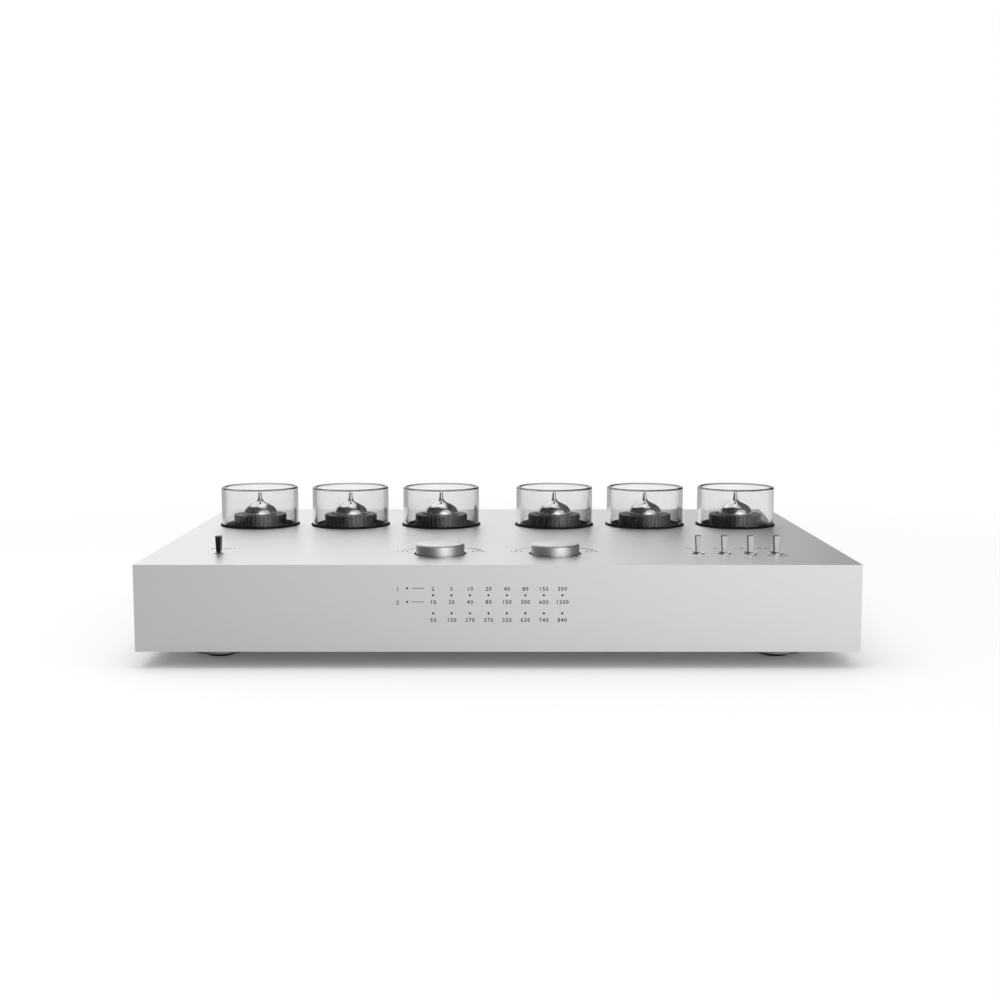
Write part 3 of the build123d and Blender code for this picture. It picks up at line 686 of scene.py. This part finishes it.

# %% [markdown]
# ## Toggle switches
# Each lever is a flat paddle that widens towards its top, on a thin stem. The box is shaped by resizing its
# lower corners, and its edges are broken by a small bevel. Four levers have a brushed nickel front and back,
# and everything else on them is painted black as shade; the one for the power is all black. A dished shiny
# ring lies round the stem and slopes down to a well whose floor is painted black as the shadow of a hole.

# %% Levers
LEVER_DEPTH = 5.7
LEVER_BASE_SHARE = 0.70
LEVER_EDGE = 0.12
STEM_RADIUS, STEM_SUNK = 1.0, 1
PADDLE_LIFT, PADDLE_DROP = 0.9 * MM, 0.6 * MM
PIVOT_RISE = 0.4
lever_low_z, lever_high_z = PLATE_TOP + PADDLE_LIFT, top_of("lever_1") - PADDLE_DROP
lever_middle_z = (lever_low_z + lever_high_z) / 2
lever_width = 2 * half_width_of("lever_1")
first_lever = box("paddle", (lever_width, LEVER_DEPTH * MM, lever_high_z - lever_low_z))
bpy.ops.transform.translate(value=(0, 0, lever_middle_z))
pick("VERT", lambda middle: middle.z < lever_middle_z)
bpy.ops.transform.resize(value=(LEVER_BASE_SHARE, 1, 1), center_override=(0, 0, 0))
done()
edges_rounded(first_lever, LEVER_EDGE * MM, EDGE_ANGLE)
pivot_height = bottom_of("lever_1") / MM + PIVOT_RISE
stem = turned("stem", [(STEM_RADIUS, pivot_height), (STEM_RADIUS, lever_low_z / MM + STEM_SUNK)], 24)
first_lever = joined("lever", [first_lever, stem])
# Painted shade: all faces of the small levers but the front and the back take the black finish, for the
# shade on their sides and top.
painted_shade_faces = [int(abs(face.normal.y) < 0.9) for face in first_lever.data.polygons]
lever_nodes = sorted(name for name in nodes_of_frame if name.startswith("lever_"))
for node in lever_nodes:
    centre = middle_of(node)
    lever = placed(copy_of(first_lever, node.replace("lever", "toggle_lever")), centre.x, centre.y)
    if node == "lever_power":
        dressed(lever, black_paddle, node)
    else:
        dressed(lever, [satin_nickel, black_anodised], node)
        lever.data.polygons.foreach_set("material_index", painted_shade_faces)
remove(first_lever)
print("levers:", len(lever_nodes))

# %% Dished rings round the levers
RING_HOLE, WELL_RADIUS = 2.3, 2.85
RING_HEIGHT = top_of("toggle_bezels") / MM - plate_top
SMALL_RING, POWER_RING = (4.35, RING_HEIGHT), (3.9, 0.2)
RING_EDGE = 0.1
RING_LAND = 0.25
WELL_FLOOR = 0.05
rings = []
lever_centres = [middle_of(node) for node in lever_nodes]
for node, centre in zip(lever_nodes, lever_centres):
    outer, height = POWER_RING if node == "lever_power" else SMALL_RING
    steps = [(outer, 0), (outer, height - RING_EDGE), (outer - RING_EDGE, height),
             (outer - RING_LAND, height), (WELL_RADIUS, WELL_FLOOR), (RING_HOLE, WELL_FLOOR), (RING_HOLE, 0)]
    ring_profile = [(radius, plate_top + rise) for radius, rise in steps]
    rings.append(placed(turned("ring", ring_profile, 48, closed=True), centre.x, centre.y))
rings = dressed(joined("toggle_rings", rings), [chrome, print_black], "toggle_bezels")
# Painted shade: the up-facing floor of the well round each stem takes the black print finish, standing for
# the shadow in the hole.
for face in rings.data.polygons:
    reach = min((face.center - centre).xy.length for centre in lever_centres)
    face.material_index = int(reach < WELL_RADIUS * MM and face.normal.z > 0.5)
print("rings:", len(lever_centres))

# %% [markdown]
# ## Print on the front and the top
# The front shows what was chosen in three rows of plain numbers, with a row of small lamps between
# each two. Numbers are set as text, made into a mesh, and laid on the panel as a film a few
# hundredths of a millimetre thick, as screen-printed ink is. On the front they are set a little wide.

# %% Numbers on the front
INK = 0.03 * MM
BOLD = 0.02
CAPITAL_SHARE = 0.73
FRONT_SPACING = 1.22
DIGIT_HEIGHT = 2.35 * MM
COLUMN_PITCH = 11.0 * MM
NUMBER_ROWS = {14.6: (2, 5, 10, 20, 40, 80, 150, 300), 22.5: (10, 20, 40, 80, 150, 300, 600, 1200),
               33.4: (50, 150, 270, 370, 520, 620, 740, 840)}
CHANNEL_ROWS = {14.1: 1, 22.3: 2}
CHANNEL_X = -59.6 * MM
CHANNEL_DROP = 0.5


def number_mesh(text, x, y, z, height, upright=False):
    """Numbers as a thin raised film, flat on the top or upright on the front."""
    bpy.ops.object.text_add(location=(0, 0, 0))
    words = bpy.context.object.data
    words.body = str(text)
    words.align_x = words.align_y = "CENTER"
    words.size = height / CAPITAL_SHARE
    words.extrude = INK
    words.offset = height * BOLD
    words.space_character = FRONT_SPACING if upright else 1
    words.resolution_u = 3
    bpy.ops.object.convert(target="MESH")
    return placed(bpy.context.object, x, y, z, about=(math.pi / 2 if upright else 0, "X"))


def front_number(figure, x, drop):
    return number_mesh(figure, x, FRONT_FACE, PLATE_TOP - drop * MM, DIGIT_HEIGHT, upright=True)


column_xs = [(column - 3.5) * COLUMN_PITCH for column in range(8)]
figures = [front_number(figure, x, drop) for drop, row in NUMBER_ROWS.items()
           for figure, x in zip(row, column_xs)]
for drop, channel in CHANNEL_ROWS.items():
    figures.append(front_number(channel, CHANNEL_X, drop + CHANNEL_DROP))
dressed(joined("front_numbers", figures), print_black, "front_panel", stands_in=False)
print("numbers on the front:", len(NUMBER_ROWS) * len(column_xs))

# %% Lamps and channel lines on the front
LAMP_RADIUS = 0.65
LAMP_PROUD = 0.05
LAMP_ROWS = (18.3, 29.2)
STATUS_X = -54.0 * MM
LINE_ENDS = (-51.1 * MM, -43.9 * MM)
LINE_HEIGHT = 0.35 * MM


def stroke(name, size, x, y, z):
    """A printed stroke: a thin box with half of its thickness in the panel."""
    piece = box(name, size)
    done()
    return placed(piece, x, y, z)


lens_profile = [(LAMP_RADIUS, 0), (LAMP_RADIUS, LAMP_PROUD * 0.5), (LAMP_RADIUS * 0.7, LAMP_PROUD)]
lens = turned("lens", lens_profile, 20)
lamp_places = [(x, drop) for drop in LAMP_ROWS for x in column_xs]
lamp_places += [(STATUS_X, drop) for drop in CHANNEL_ROWS]
lenses = [placed(copy_of(lens, "lens"), x, FRONT_FACE, PLATE_TOP - drop * MM, about=(math.pi / 2, "X"))
          for x, drop in lamp_places]
remove(lens)
dressed(joined("front_lamps", lenses), lamp_lens, "indicator_lamps")
line_size = (LINE_ENDS[1] - LINE_ENDS[0], INK * 2, LINE_HEIGHT)
line_x = sum(LINE_ENDS) / 2
lines = [stroke("line", line_size, line_x, FRONT_FACE, PLATE_TOP - drop * MM) for drop in CHANNEL_ROWS]
dressed(joined("channel_lines", lines), print_grey, "front_panel", stands_in=False)
print("lamps on the front:", len(lamp_places))

# %% [markdown]
# Round each knob runs a printed scale: an arc behind it that starts thin at the left and ends as a
# thick stroke at the right. A circle is cut down to that arc and extruded outwards to a strip, and
# its outer corners are then pushed out, the further the nearer they lie to the right end.

# %% Scales round the knobs
SCALE_RADIUS = 27.7
SCALE_START, SCALE_END = 153.6, 26.4
SCALE_THIN, SCALE_THICK = 0.50, 1.60
SCALE_LABELS = {-24.3: "1 2 3", 23.4: "6 7 8"}
SCALE_LABEL_BACK = 8.4 * MM
SCALE_LABEL_HEIGHT = 2.8 * MM
TICK_SIZE = (0.35 * MM, 3.2 * MM, 2 * INK)
TICK_COUNT, TICK_PITCH = 14, 1.2
TICK_MIDDLE, TICK_AHEAD = -4.4, 21.5


def scale_arc():
    """A strip of ink on an arc that widens along its way."""
    bpy.ops.mesh.primitive_circle_add(vertices=200, radius=SCALE_RADIUS * MM)
    strip = begin("scale")
    lowest = SCALE_RADIUS * MM * math.sin(math.radians(SCALE_END)) - 0.01 * MM
    pick("VERT", lambda middle: middle.y < lowest)
    bpy.ops.mesh.delete(type="VERT")
    bpy.ops.mesh.select_all(action="SELECT")
    bpy.ops.mesh.extrude_edges_move()
    widen(1 + SCALE_THIN / SCALE_RADIUS)
    done()
    for vertex in strip.data.vertices:
        if vertex.co.length > (SCALE_RADIUS + SCALE_THIN / 2) * MM:
            turn = math.degrees(math.atan2(vertex.co.y, vertex.co.x))
            way = (SCALE_START - turn) / (SCALE_START - SCALE_END)
            vertex.co *= 1 + (SCALE_THICK - SCALE_THIN) * way**4 / SCALE_RADIUS
    return modified(strip, "SOLIDIFY", thickness=2 * INK, offset=0)


for side in ("left", "right"):
    centre = middle_of("knob_" + side)
    marks = [placed(scale_arc(), centre.x, centre.y, PLATE_TOP)]
    for right, label in SCALE_LABELS.items():
        x, y = centre.x + right * MM, centre.y + SCALE_LABEL_BACK
        marks.append(number_mesh(label, x, y, PLATE_TOP, SCALE_LABEL_HEIGHT))
    for step in range(TICK_COUNT):
        x = centre.x + (TICK_MIDDLE + (step - (TICK_COUNT - 1) / 2) * TICK_PITCH) * MM
        marks.append(stroke("tick", TICK_SIZE, x, centre.y - TICK_AHEAD * MM, PLATE_TOP))
    dressed(joined(f"scale_{side}", marks), print_black, "top_plate", stands_in=False)
print("ticks in front of each knob:", TICK_COUNT)

# %% Labels at the switches
BACK, AHEAD = 19.6, -10.2
SWITCH_PRINT = {
    "lever_power": (("OFF", -6.2, BACK, 2.6), ("ON 1", 2.7, BACK, 2.6)),
    "lever_1": (("100", -3.7, BACK, 2.3), ("1", 5.8, BACK, 2.0)),
    "lever_2": (("20", -2.3, BACK, 2.3),),
    "lever_3": (("30", -1.6, BACK, 2.3), ("100", 0.4, AHEAD, 2.4)),
    "lever_4": (("40 50", -4.5, BACK, 2.8), ("1", 6.9, BACK, 2.4),
                ("150", -6.0, AHEAD, 2.2), ("1200", 2.4, AHEAD, 2.3)),
}
words = []
for node, prints in SWITCH_PRINT.items():
    centre = middle_of(node)
    for word, right, back, height in prints:
        x, y = centre.x + right * MM, centre.y + back * MM
        words.append(number_mesh(word, x, y, PLATE_TOP, height * MM))
print("labels:", len(words))
dressed(joined("switch_print", words), print_black, "top_plate", stands_in=False)

# %% [markdown]
# ## Feet, screws and the rear
# The underside and the rear are finished too, because whoever uses a part turns it round. A foot is a
# turned disc with a groove, on a rubber pad. The case screws have a hexagon socket, which a six-sided
# cutter takes out of the bevelled head.

# %% Feet
FOOT_RADIUS, PAD_RADIUS = 17.5, 9.5
FOOT_EDGE = 0.4
GROOVE_IN = 0.7
foot_low, foot_high = bottom_of("foot_discs") / MM, CASE_BOTTOM / MM
box_low, box_high = corners_of("foot_discs")
foot_centres = [(x, y) for x in (box_low.x + FOOT_RADIUS * MM, box_high.x - FOOT_RADIUS * MM)
                for y in (box_low.y + FOOT_RADIUS * MM, box_high.y - FOOT_RADIUS * MM)]
foot_profile = [(FOOT_RADIUS - 0.5, foot_low), (FOOT_RADIUS, foot_low + 0.5), (FOOT_RADIUS, foot_low + 3.2),
                (FOOT_RADIUS - GROOVE_IN, foot_low + 3.5), (FOOT_RADIUS - GROOVE_IN, foot_low + 4.1),
                (FOOT_RADIUS, foot_low + 4.4), (FOOT_RADIUS, foot_high - FOOT_EDGE),
                (FOOT_RADIUS - FOOT_EDGE, foot_high)]
pad_profile = [(PAD_RADIUS - 0.6, 0.0), (PAD_RADIUS - 0.1, 0.3), (PAD_RADIUS, 0.8), (PAD_RADIUS, foot_low)]
feet = [placed(turned("foot", foot_profile, 96), x, y) for x, y in foot_centres]
pads = [placed(turned("pad", pad_profile, 96), x, y) for x, y in foot_centres]
dressed(joined("turned_feet", feet), foot_aluminium, "foot_discs")
dressed(joined("rubber_pads", pads), foot_rubber, "foot_pads")
print("feet:", len(foot_centres))

# %% Case screws
SCREW_HEAD = 2.8
SCREW_RISE = 1.65
HEAD_ROUND = 0.5
HEX_RADIUS, HEX_DEPTH, HEX_RISE = 1.25, 2.4, 0.2
BLOCK_SIDE = 12 * MM


def on_rear(part, x, z):
    """Turn an upright part so that it points out of the rear panel."""
    return placed(part, x, REAR_FACE, z, about=(-math.pi / 2, "X"))


bpy.ops.mesh.primitive_cylinder_add(vertices=36, radius=SCREW_HEAD * MM, depth=SCREW_RISE * MM)
screw = begin("screw_head")
bpy.ops.transform.translate(value=(0, 0, SCREW_RISE * MM / 2))
pick("FACE", lambda middle: middle.z > SCREW_RISE * MM * 0.9)
bpy.ops.mesh.bevel(offset=HEAD_ROUND * MM, segments=3)
done(35)
bpy.ops.mesh.primitive_cylinder_add(vertices=6, radius=HEX_RADIUS * MM, depth=HEX_DEPTH * MM)
hexagon = begin("socket_cutter")
bpy.ops.transform.translate(value=(0, 0, SCREW_RISE * MM + HEX_RISE * MM))
done()
modified(screw, "BOOLEAN", object=hexagon, operation="DIFFERENCE", solver="EXACT")
smooth(35)
remove(hexagon)
block_low, block_high = corners_of("corner_blocks")
screw_x = block_high.x - BLOCK_SIDE / 2
heads = []
for x in (-screw_x, screw_x):
    for y in (block_low.y + BLOCK_SIDE / 2, block_high.y - BLOCK_SIDE / 2):
        heads.append(placed(copy_of(screw, "head"), x, y, CASE_BOTTOM, about=(math.pi, "X")))
    for z in (block_low.z + BLOCK_SIDE, block_high.z - BLOCK_SIDE):
        heads.append(on_rear(copy_of(screw, "head"), x, z))
print("case screws:", len(heads))
remove(screw)
dressed(joined("screw_heads", heads), screw_black, "case_screws")
softened("bottom_plate", inner_aluminium)

# %% [markdown]
# The phono sockets are turned sleeves on hexagonal collars, with a white or red insulator inside to
# tell left from right. The ground terminal has a knurled nut, grooved as the dampers are. The mains
# inlet, its blades and its fuse drawer only need their edges rounded.

# %% Phono sockets
SLEEVE_RADIUS, SLEEVE_BORE, SLEEVE_TIP = 4.15, 3.4, 11.5
COLLAR_RADIUS, COLLAR_HEIGHT = 6.5, 2.0
INSULATOR_RADIUS, INSULATOR_LOW, INSULATOR_HIGH = SLEEVE_BORE - 0.02, 1.0, SLEEVE_TIP - 1.0
PIN_HOLE = 1.65
CONTACT_RADIUS, CONTACT_HIGH = 1.55, SLEEVE_TIP - 3
SOCKET_PITCH = 24 * MM
box_low, box_high = corners_of("signal_sleeves")
socket_z = middle_of("signal_sleeves").z
first_x, last_x = box_low.x + COLLAR_RADIUS * MM, box_high.x - COLLAR_RADIUS * MM
socket_xs = [first_x, first_x + SOCKET_PITCH, last_x - SOCKET_PITCH, last_x]
barrel_profile = [(SLEEVE_RADIUS, COLLAR_HEIGHT), (SLEEVE_RADIUS, SLEEVE_TIP - 0.4),
                  (SLEEVE_RADIUS - 0.3, SLEEVE_TIP), (SLEEVE_BORE + 0.15, SLEEVE_TIP),
                  (SLEEVE_BORE, SLEEVE_TIP - 0.3), (SLEEVE_BORE, COLLAR_HEIGHT)]
collar_profile = [(COLLAR_RADIUS - 0.25, 0), (COLLAR_RADIUS, 0.25), (COLLAR_RADIUS, COLLAR_HEIGHT - 0.35),
                  (COLLAR_RADIUS - 0.6, COLLAR_HEIGHT)]
contact_profile = [(CONTACT_RADIUS, INSULATOR_LOW), (CONTACT_RADIUS, CONTACT_HIGH)]
insulator_profile = [
    (INSULATOR_RADIUS, INSULATOR_LOW), (INSULATOR_RADIUS, INSULATOR_HIGH - 0.2),
    (SLEEVE_BORE - 0.25, INSULATOR_HIGH), (PIN_HOLE, INSULATOR_HIGH), (PIN_HOLE, 2.5),
    (PIN_HOLE - 0.05, 2.4), (PIN_HOLE - 0.05, INSULATOR_LOW),
]
sleeves = []
for number, x in enumerate(socket_xs):
    parts = [turned("barrel", barrel_profile, 64, closed=True), turned("collar", collar_profile, 6, 20),
             turned("contact", contact_profile, 20)]
    sleeves += [on_rear(part, x, socket_z) for part in parts]
    insulator = on_rear(turned(f"insulator_{number + 1}", insulator_profile, 48, closed=True), x, socket_z)
    dressed(insulator, (white_insulator, red_insulator)[number % 2], "signal_insulators")
dressed(joined("phono_sleeves", sleeves), gold, "signal_sleeves")
print("phono sockets:", len(socket_xs))

# %% Ground terminal
NUT_RADIUS, NUT_EDGE, NUT_BORE = 6.45, 0.6, 2.1
KNURLS, KNURL_SHARE = 36, 0.955
SHAFT_RADIUS = 2.0
BASE_RADIUS, BASE_HEIGHT, BASE_EDGE = 6.0, 2.0, 0.3
WASHER_RADIUS, WASHER_EDGE = 5.5, 0.2
terminal = middle_of("ground_nut")


def reach_behind(node):
    """How far behind the rear panel a node begins and ends, in mm."""
    return [(corner[1] - REAR_FACE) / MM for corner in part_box(node)]


nut_low, nut_high = reach_behind("ground_nut")
nut_profile = [(NUT_RADIUS - NUT_EDGE, nut_low), (NUT_RADIUS, nut_low + NUT_EDGE),
               (NUT_RADIUS, nut_high - NUT_EDGE), (NUT_RADIUS - NUT_EDGE, nut_high),
               (NUT_BORE + 0.2, nut_high), (NUT_BORE, nut_high - 0.2), (NUT_BORE, nut_low)]
nut = turned("thumb_nut_knurled", nut_profile, KNURLS * 2, closed=True)
grooved(nut, KNURLS * 2, 2, NUT_RADIUS - 0.3, KNURL_SHARE, 15)
dressed(on_rear(nut, terminal.x, terminal.z), gold, "ground_nut")
stud_tip = reach_behind("ground_stud")[1]
stud_profile = [(BASE_RADIUS, 0), (BASE_RADIUS, BASE_HEIGHT - BASE_EDGE),
                (BASE_RADIUS - BASE_EDGE, BASE_HEIGHT), (SHAFT_RADIUS, BASE_HEIGHT),
                (SHAFT_RADIUS, stud_tip - 0.5), (SHAFT_RADIUS - 0.5, stud_tip)]
stud = on_rear(turned("terminal_stud", stud_profile, 48, 20), terminal.x, terminal.z)
dressed(stud, gold, "ground_stud")
washer_low, washer_high = reach_behind("ground_washer")
washer_profile = [(NUT_BORE, washer_low), (WASHER_RADIUS - WASHER_EDGE, washer_low),
                  (WASHER_RADIUS, washer_low + WASHER_EDGE), (WASHER_RADIUS, washer_high - WASHER_EDGE),
                  (WASHER_RADIUS - WASHER_EDGE, washer_high), (NUT_BORE, washer_high)]
washer = on_rear(turned("clamp_washer", washer_profile, 48, closed=True), terminal.x, terminal.z)
dressed(washer, gold, "ground_washer")
print("knurls of the thumb nut:", KNURLS)

# %% Mains inlet and fuse drawer
REAR_EDGES = (("mains_inlet", inlet_plastic, 0.5), ("fuse_drawer", inlet_plastic, 0.3),
              ("mains_blades", steel, 0.3))
for node, material, edge in REAR_EDGES:
    softened(node, material, edge * MM)
    print(node, "rounded by", edge, "mm")

# %% [markdown]
# ## Inside the case
# What is closed in keeps the shapes of the frame and only takes the finish of its real material.

# %% Inner finishes
INNER_NODES = {
    board_green: ("valve_board", "signal_board", "supply_board", "display_board"),
    steel: ("board_standoffs", "transformer_clamp", "rotary_switches", "toggle_switches", "shaft_left",
            "shaft_right"),
    inner_aluminium: ("corner_blocks",), ceramic: ("valve_sockets",), fuse_glass: ("fuse",),
    sleeve_black: ("reservoir_capacitors",), coil_tape: ("power_transformer",),
}
for material, inner_nodes in INNER_NODES.items():
    for node in inner_nodes:
        nodes_of_frame[node].data.materials.clear()
        nodes_of_frame[node].data.materials.append(material)
print("finishes inside:", len(INNER_NODES))

# %% [markdown]
# ## Studio
# Metal shows what is round it. Five soft panels shine on it, one behind on the left, two overhead and
# two in front on the right, with dimmer gaps between them, so each face of the case runs gently from
# light to dark. They are soft round patches in the world that only mirrored rays see. Matt surfaces
# see an even pale room, and the camera sees plain white, also through glass.

# %% The room
DIM = 0.04
ROOM_LEVEL = 0.75
# Each panel: its direction, how far out in degrees it is full and gone, and its strength.
PANELS = (
    ((-0.30, 0.94, 0.14), 18, 39, 1.02),
    ((-0.22, 0.62, 1.00), 20, 27, 1.05),
    ((0.15, 0.12, 1.00), 10, 20, 0.70),
    ((0.56, -0.71, 0.42), 25, 38, 0.70),
    ((0.30, -0.95, 0.05), 8, 38, 1.00),
)
world = bpy.data.worlds.new("studio")
scene.world = world
world.use_nodes = True
nodes = world.node_tree.nodes
around = new_node(nodes, "TexCoord")


def facing(nodes, place, coordinates, direction):
    """How far a place lies in a direction: their dot product."""
    dot = new_node(nodes, "VectorMath")
    dot.operation = "DOT_PRODUCT"
    dot.inputs[1].default_value = direction
    wire(place, coordinates, dot, 0)
    return dot


def soft_panel(direction, full, edge, strength, so_far):
    """Add a round patch of light to the panels so far."""
    towards = facing(nodes, around, "Generated", Vector(direction).normalized())
    fade = new_node(nodes, "MapRange", From_Min=math.cos(math.radians(edge)),
                    From_Max=math.cos(math.radians(full)), To_Max=strength)
    fade.interpolation_type = "SMOOTHSTEP"
    total = new_node(nodes, "Math")
    total.inputs[1].default_value = DIM
    wire(towards, "Value", fade, "Value")
    wire(fade, "Result", total, 0)
    if so_far:
        wire(so_far, 0, total, 1)
    return total


panels = None
for direction, full, edge, strength in PANELS:
    panels = soft_panel(direction, full, edge, strength, panels)
print("panels:", len(PANELS))

# %% What each kind of ray sees


def ray_mix(nodes, depth, before, after):
    """One value or node before a ray has bounced in a given way, and another after."""
    mix = new_node(nodes, "Mix")
    wire(new_node(nodes, "LightPath"), depth, mix, "Factor")
    for socket, value in (("A", before), ("B", after)):
        if isinstance(value, bpy.types.Node):
            wire(value, 0, mix, socket)
        else:
            mix.inputs[socket].default_value = value
    return mix


mirrored = ray_mix(nodes, "Glossy Depth", 1, panels)
seen = ray_mix(nodes, "Diffuse Depth", mirrored, ROOM_LEVEL)
wire(seen, "Result", with_inputs(nodes["Background"], Color=rgba(1)), "Strength")
print("room level:", ROOM_LEVEL)

# %% A soft box overhead
LAMP_PLACE = (-0.25, -0.25, 1.5)
LAMP_SIZE = 1.4
LAMP_POWER = 6
bpy.ops.object.light_add(type="AREA", location=LAMP_PLACE)
lamp = bpy.context.object
lamp.name = "soft_box"
lamp.data.size = LAMP_SIZE
lamp.data.energy = LAMP_POWER
lamp.visible_glossy = False
print("soft box, watts:", LAMP_POWER)

# %% [markdown]
# The floor is pale paper. To the camera it is nearly as bright as the background, and it darkens where the
# case keeps the light away. Further out it turns fully white, which hides where it ends. Bounced rays meet a
# greyer paper with painted light on it: its colour gets lighter towards the front right, which gives the
# front of the case its gentle run from darker to lighter.

# %% Floor
FLOOR_SIZE = 14
PAPER = 0.97
FLOOR_LIFT = 0.09
NEAR, FAR = 0.35, 0.9
TOWARDS_LIGHT = (1, -0.6, 0)
DARK_END, LIGHT_END = (-0.20, 0.54), (0.60, 0.90)
bpy.ops.mesh.primitive_plane_add(size=FLOOR_SIZE)
floor = bpy.context.object
floor.name = "floor"
paper = finish("floor_paper", 0.62, 0.64, 0, 0.8, bump=0, gloss=0)
nodes = paper.node_tree.nodes
bounced_paper, place = nodes["Principled BSDF"], nodes["Texture Coordinate"]

lit = new_node(nodes, "BsdfDiffuse", Color=rgba(PAPER))
lift = new_node(nodes, "Emission", Strength=FLOOR_LIFT)
near_paper = new_node(nodes, "AddShader")
wire(lit, 0, near_paper, 0)
wire(lift, 0, near_paper, 1)
white = new_node(nodes, "Emission")
distance = new_node(nodes, "VectorMath")
distance.operation = "LENGTH"
away = new_node(nodes, "MapRange", From_Min=NEAR, From_Max=FAR)
away.interpolation_type = "SMOOTHSTEP"
seen_paper = new_node(nodes, "MixShader")
wire(place, "Object", distance, 0)
wire(distance, "Value", away, "Value")
wire(away, "Result", seen_paper, "Fac")
wire(near_paper, 0, seen_paper, 1)
wire(white, 0, seen_paper, 2)

# Painted light: the colour that bounced rays meet runs lighter towards the front right, as if more light
# fell there.
painted_light_tone = new_node(nodes, "MapRange", From_Min=DARK_END[0], From_Max=LIGHT_END[0], To_Min=DARK_END[1],
                To_Max=LIGHT_END[1])
wire(facing(nodes, place, "Object", TOWARDS_LIGHT), "Value", painted_light_tone, "Value")
wire(painted_light_tone, "Result", bounced_paper, "Base Color")
bounced = ray_mix(nodes, "Glossy Depth", ray_mix(nodes, "Diffuse Depth", 0, 1), 1)
both = new_node(nodes, "MixShader")
wire(bounced, "Result", both, "Fac")
wire(seen_paper, 0, both, 1)
wire(bounced_paper, 0, both, 2)
wire(both, 0, nodes["Material Output"], "Surface")
floor.data.materials.append(paper)
print("floor, metres:", FLOOR_SIZE)

# %% [markdown]
# ## Camera
# A camera a little above the case and close in front of it shows the top as a narrow band and the
# front face square on.

# %% Camera
CAMERA_AHEAD = 0.796
CAMERA_RISE = 0.1278
CAMERA_TILT = 6.38
LENS, SENSOR = 48.8, 36
SHIFT = 0.0023
bpy.ops.object.camera_add(location=(0, FRONT_FACE - CAMERA_AHEAD, PLATE_TOP + CAMERA_RISE),
                          rotation=(math.radians(90 - CAMERA_TILT), 0, 0))
camera = bpy.context.object
camera.data.lens = LENS
camera.data.sensor_width = SENSOR
camera.data.shift_x = SHIFT
scene.camera = camera
scene.view_settings.view_transform = "Standard"
print("camera tilt, degrees:", CAMERA_TILT)
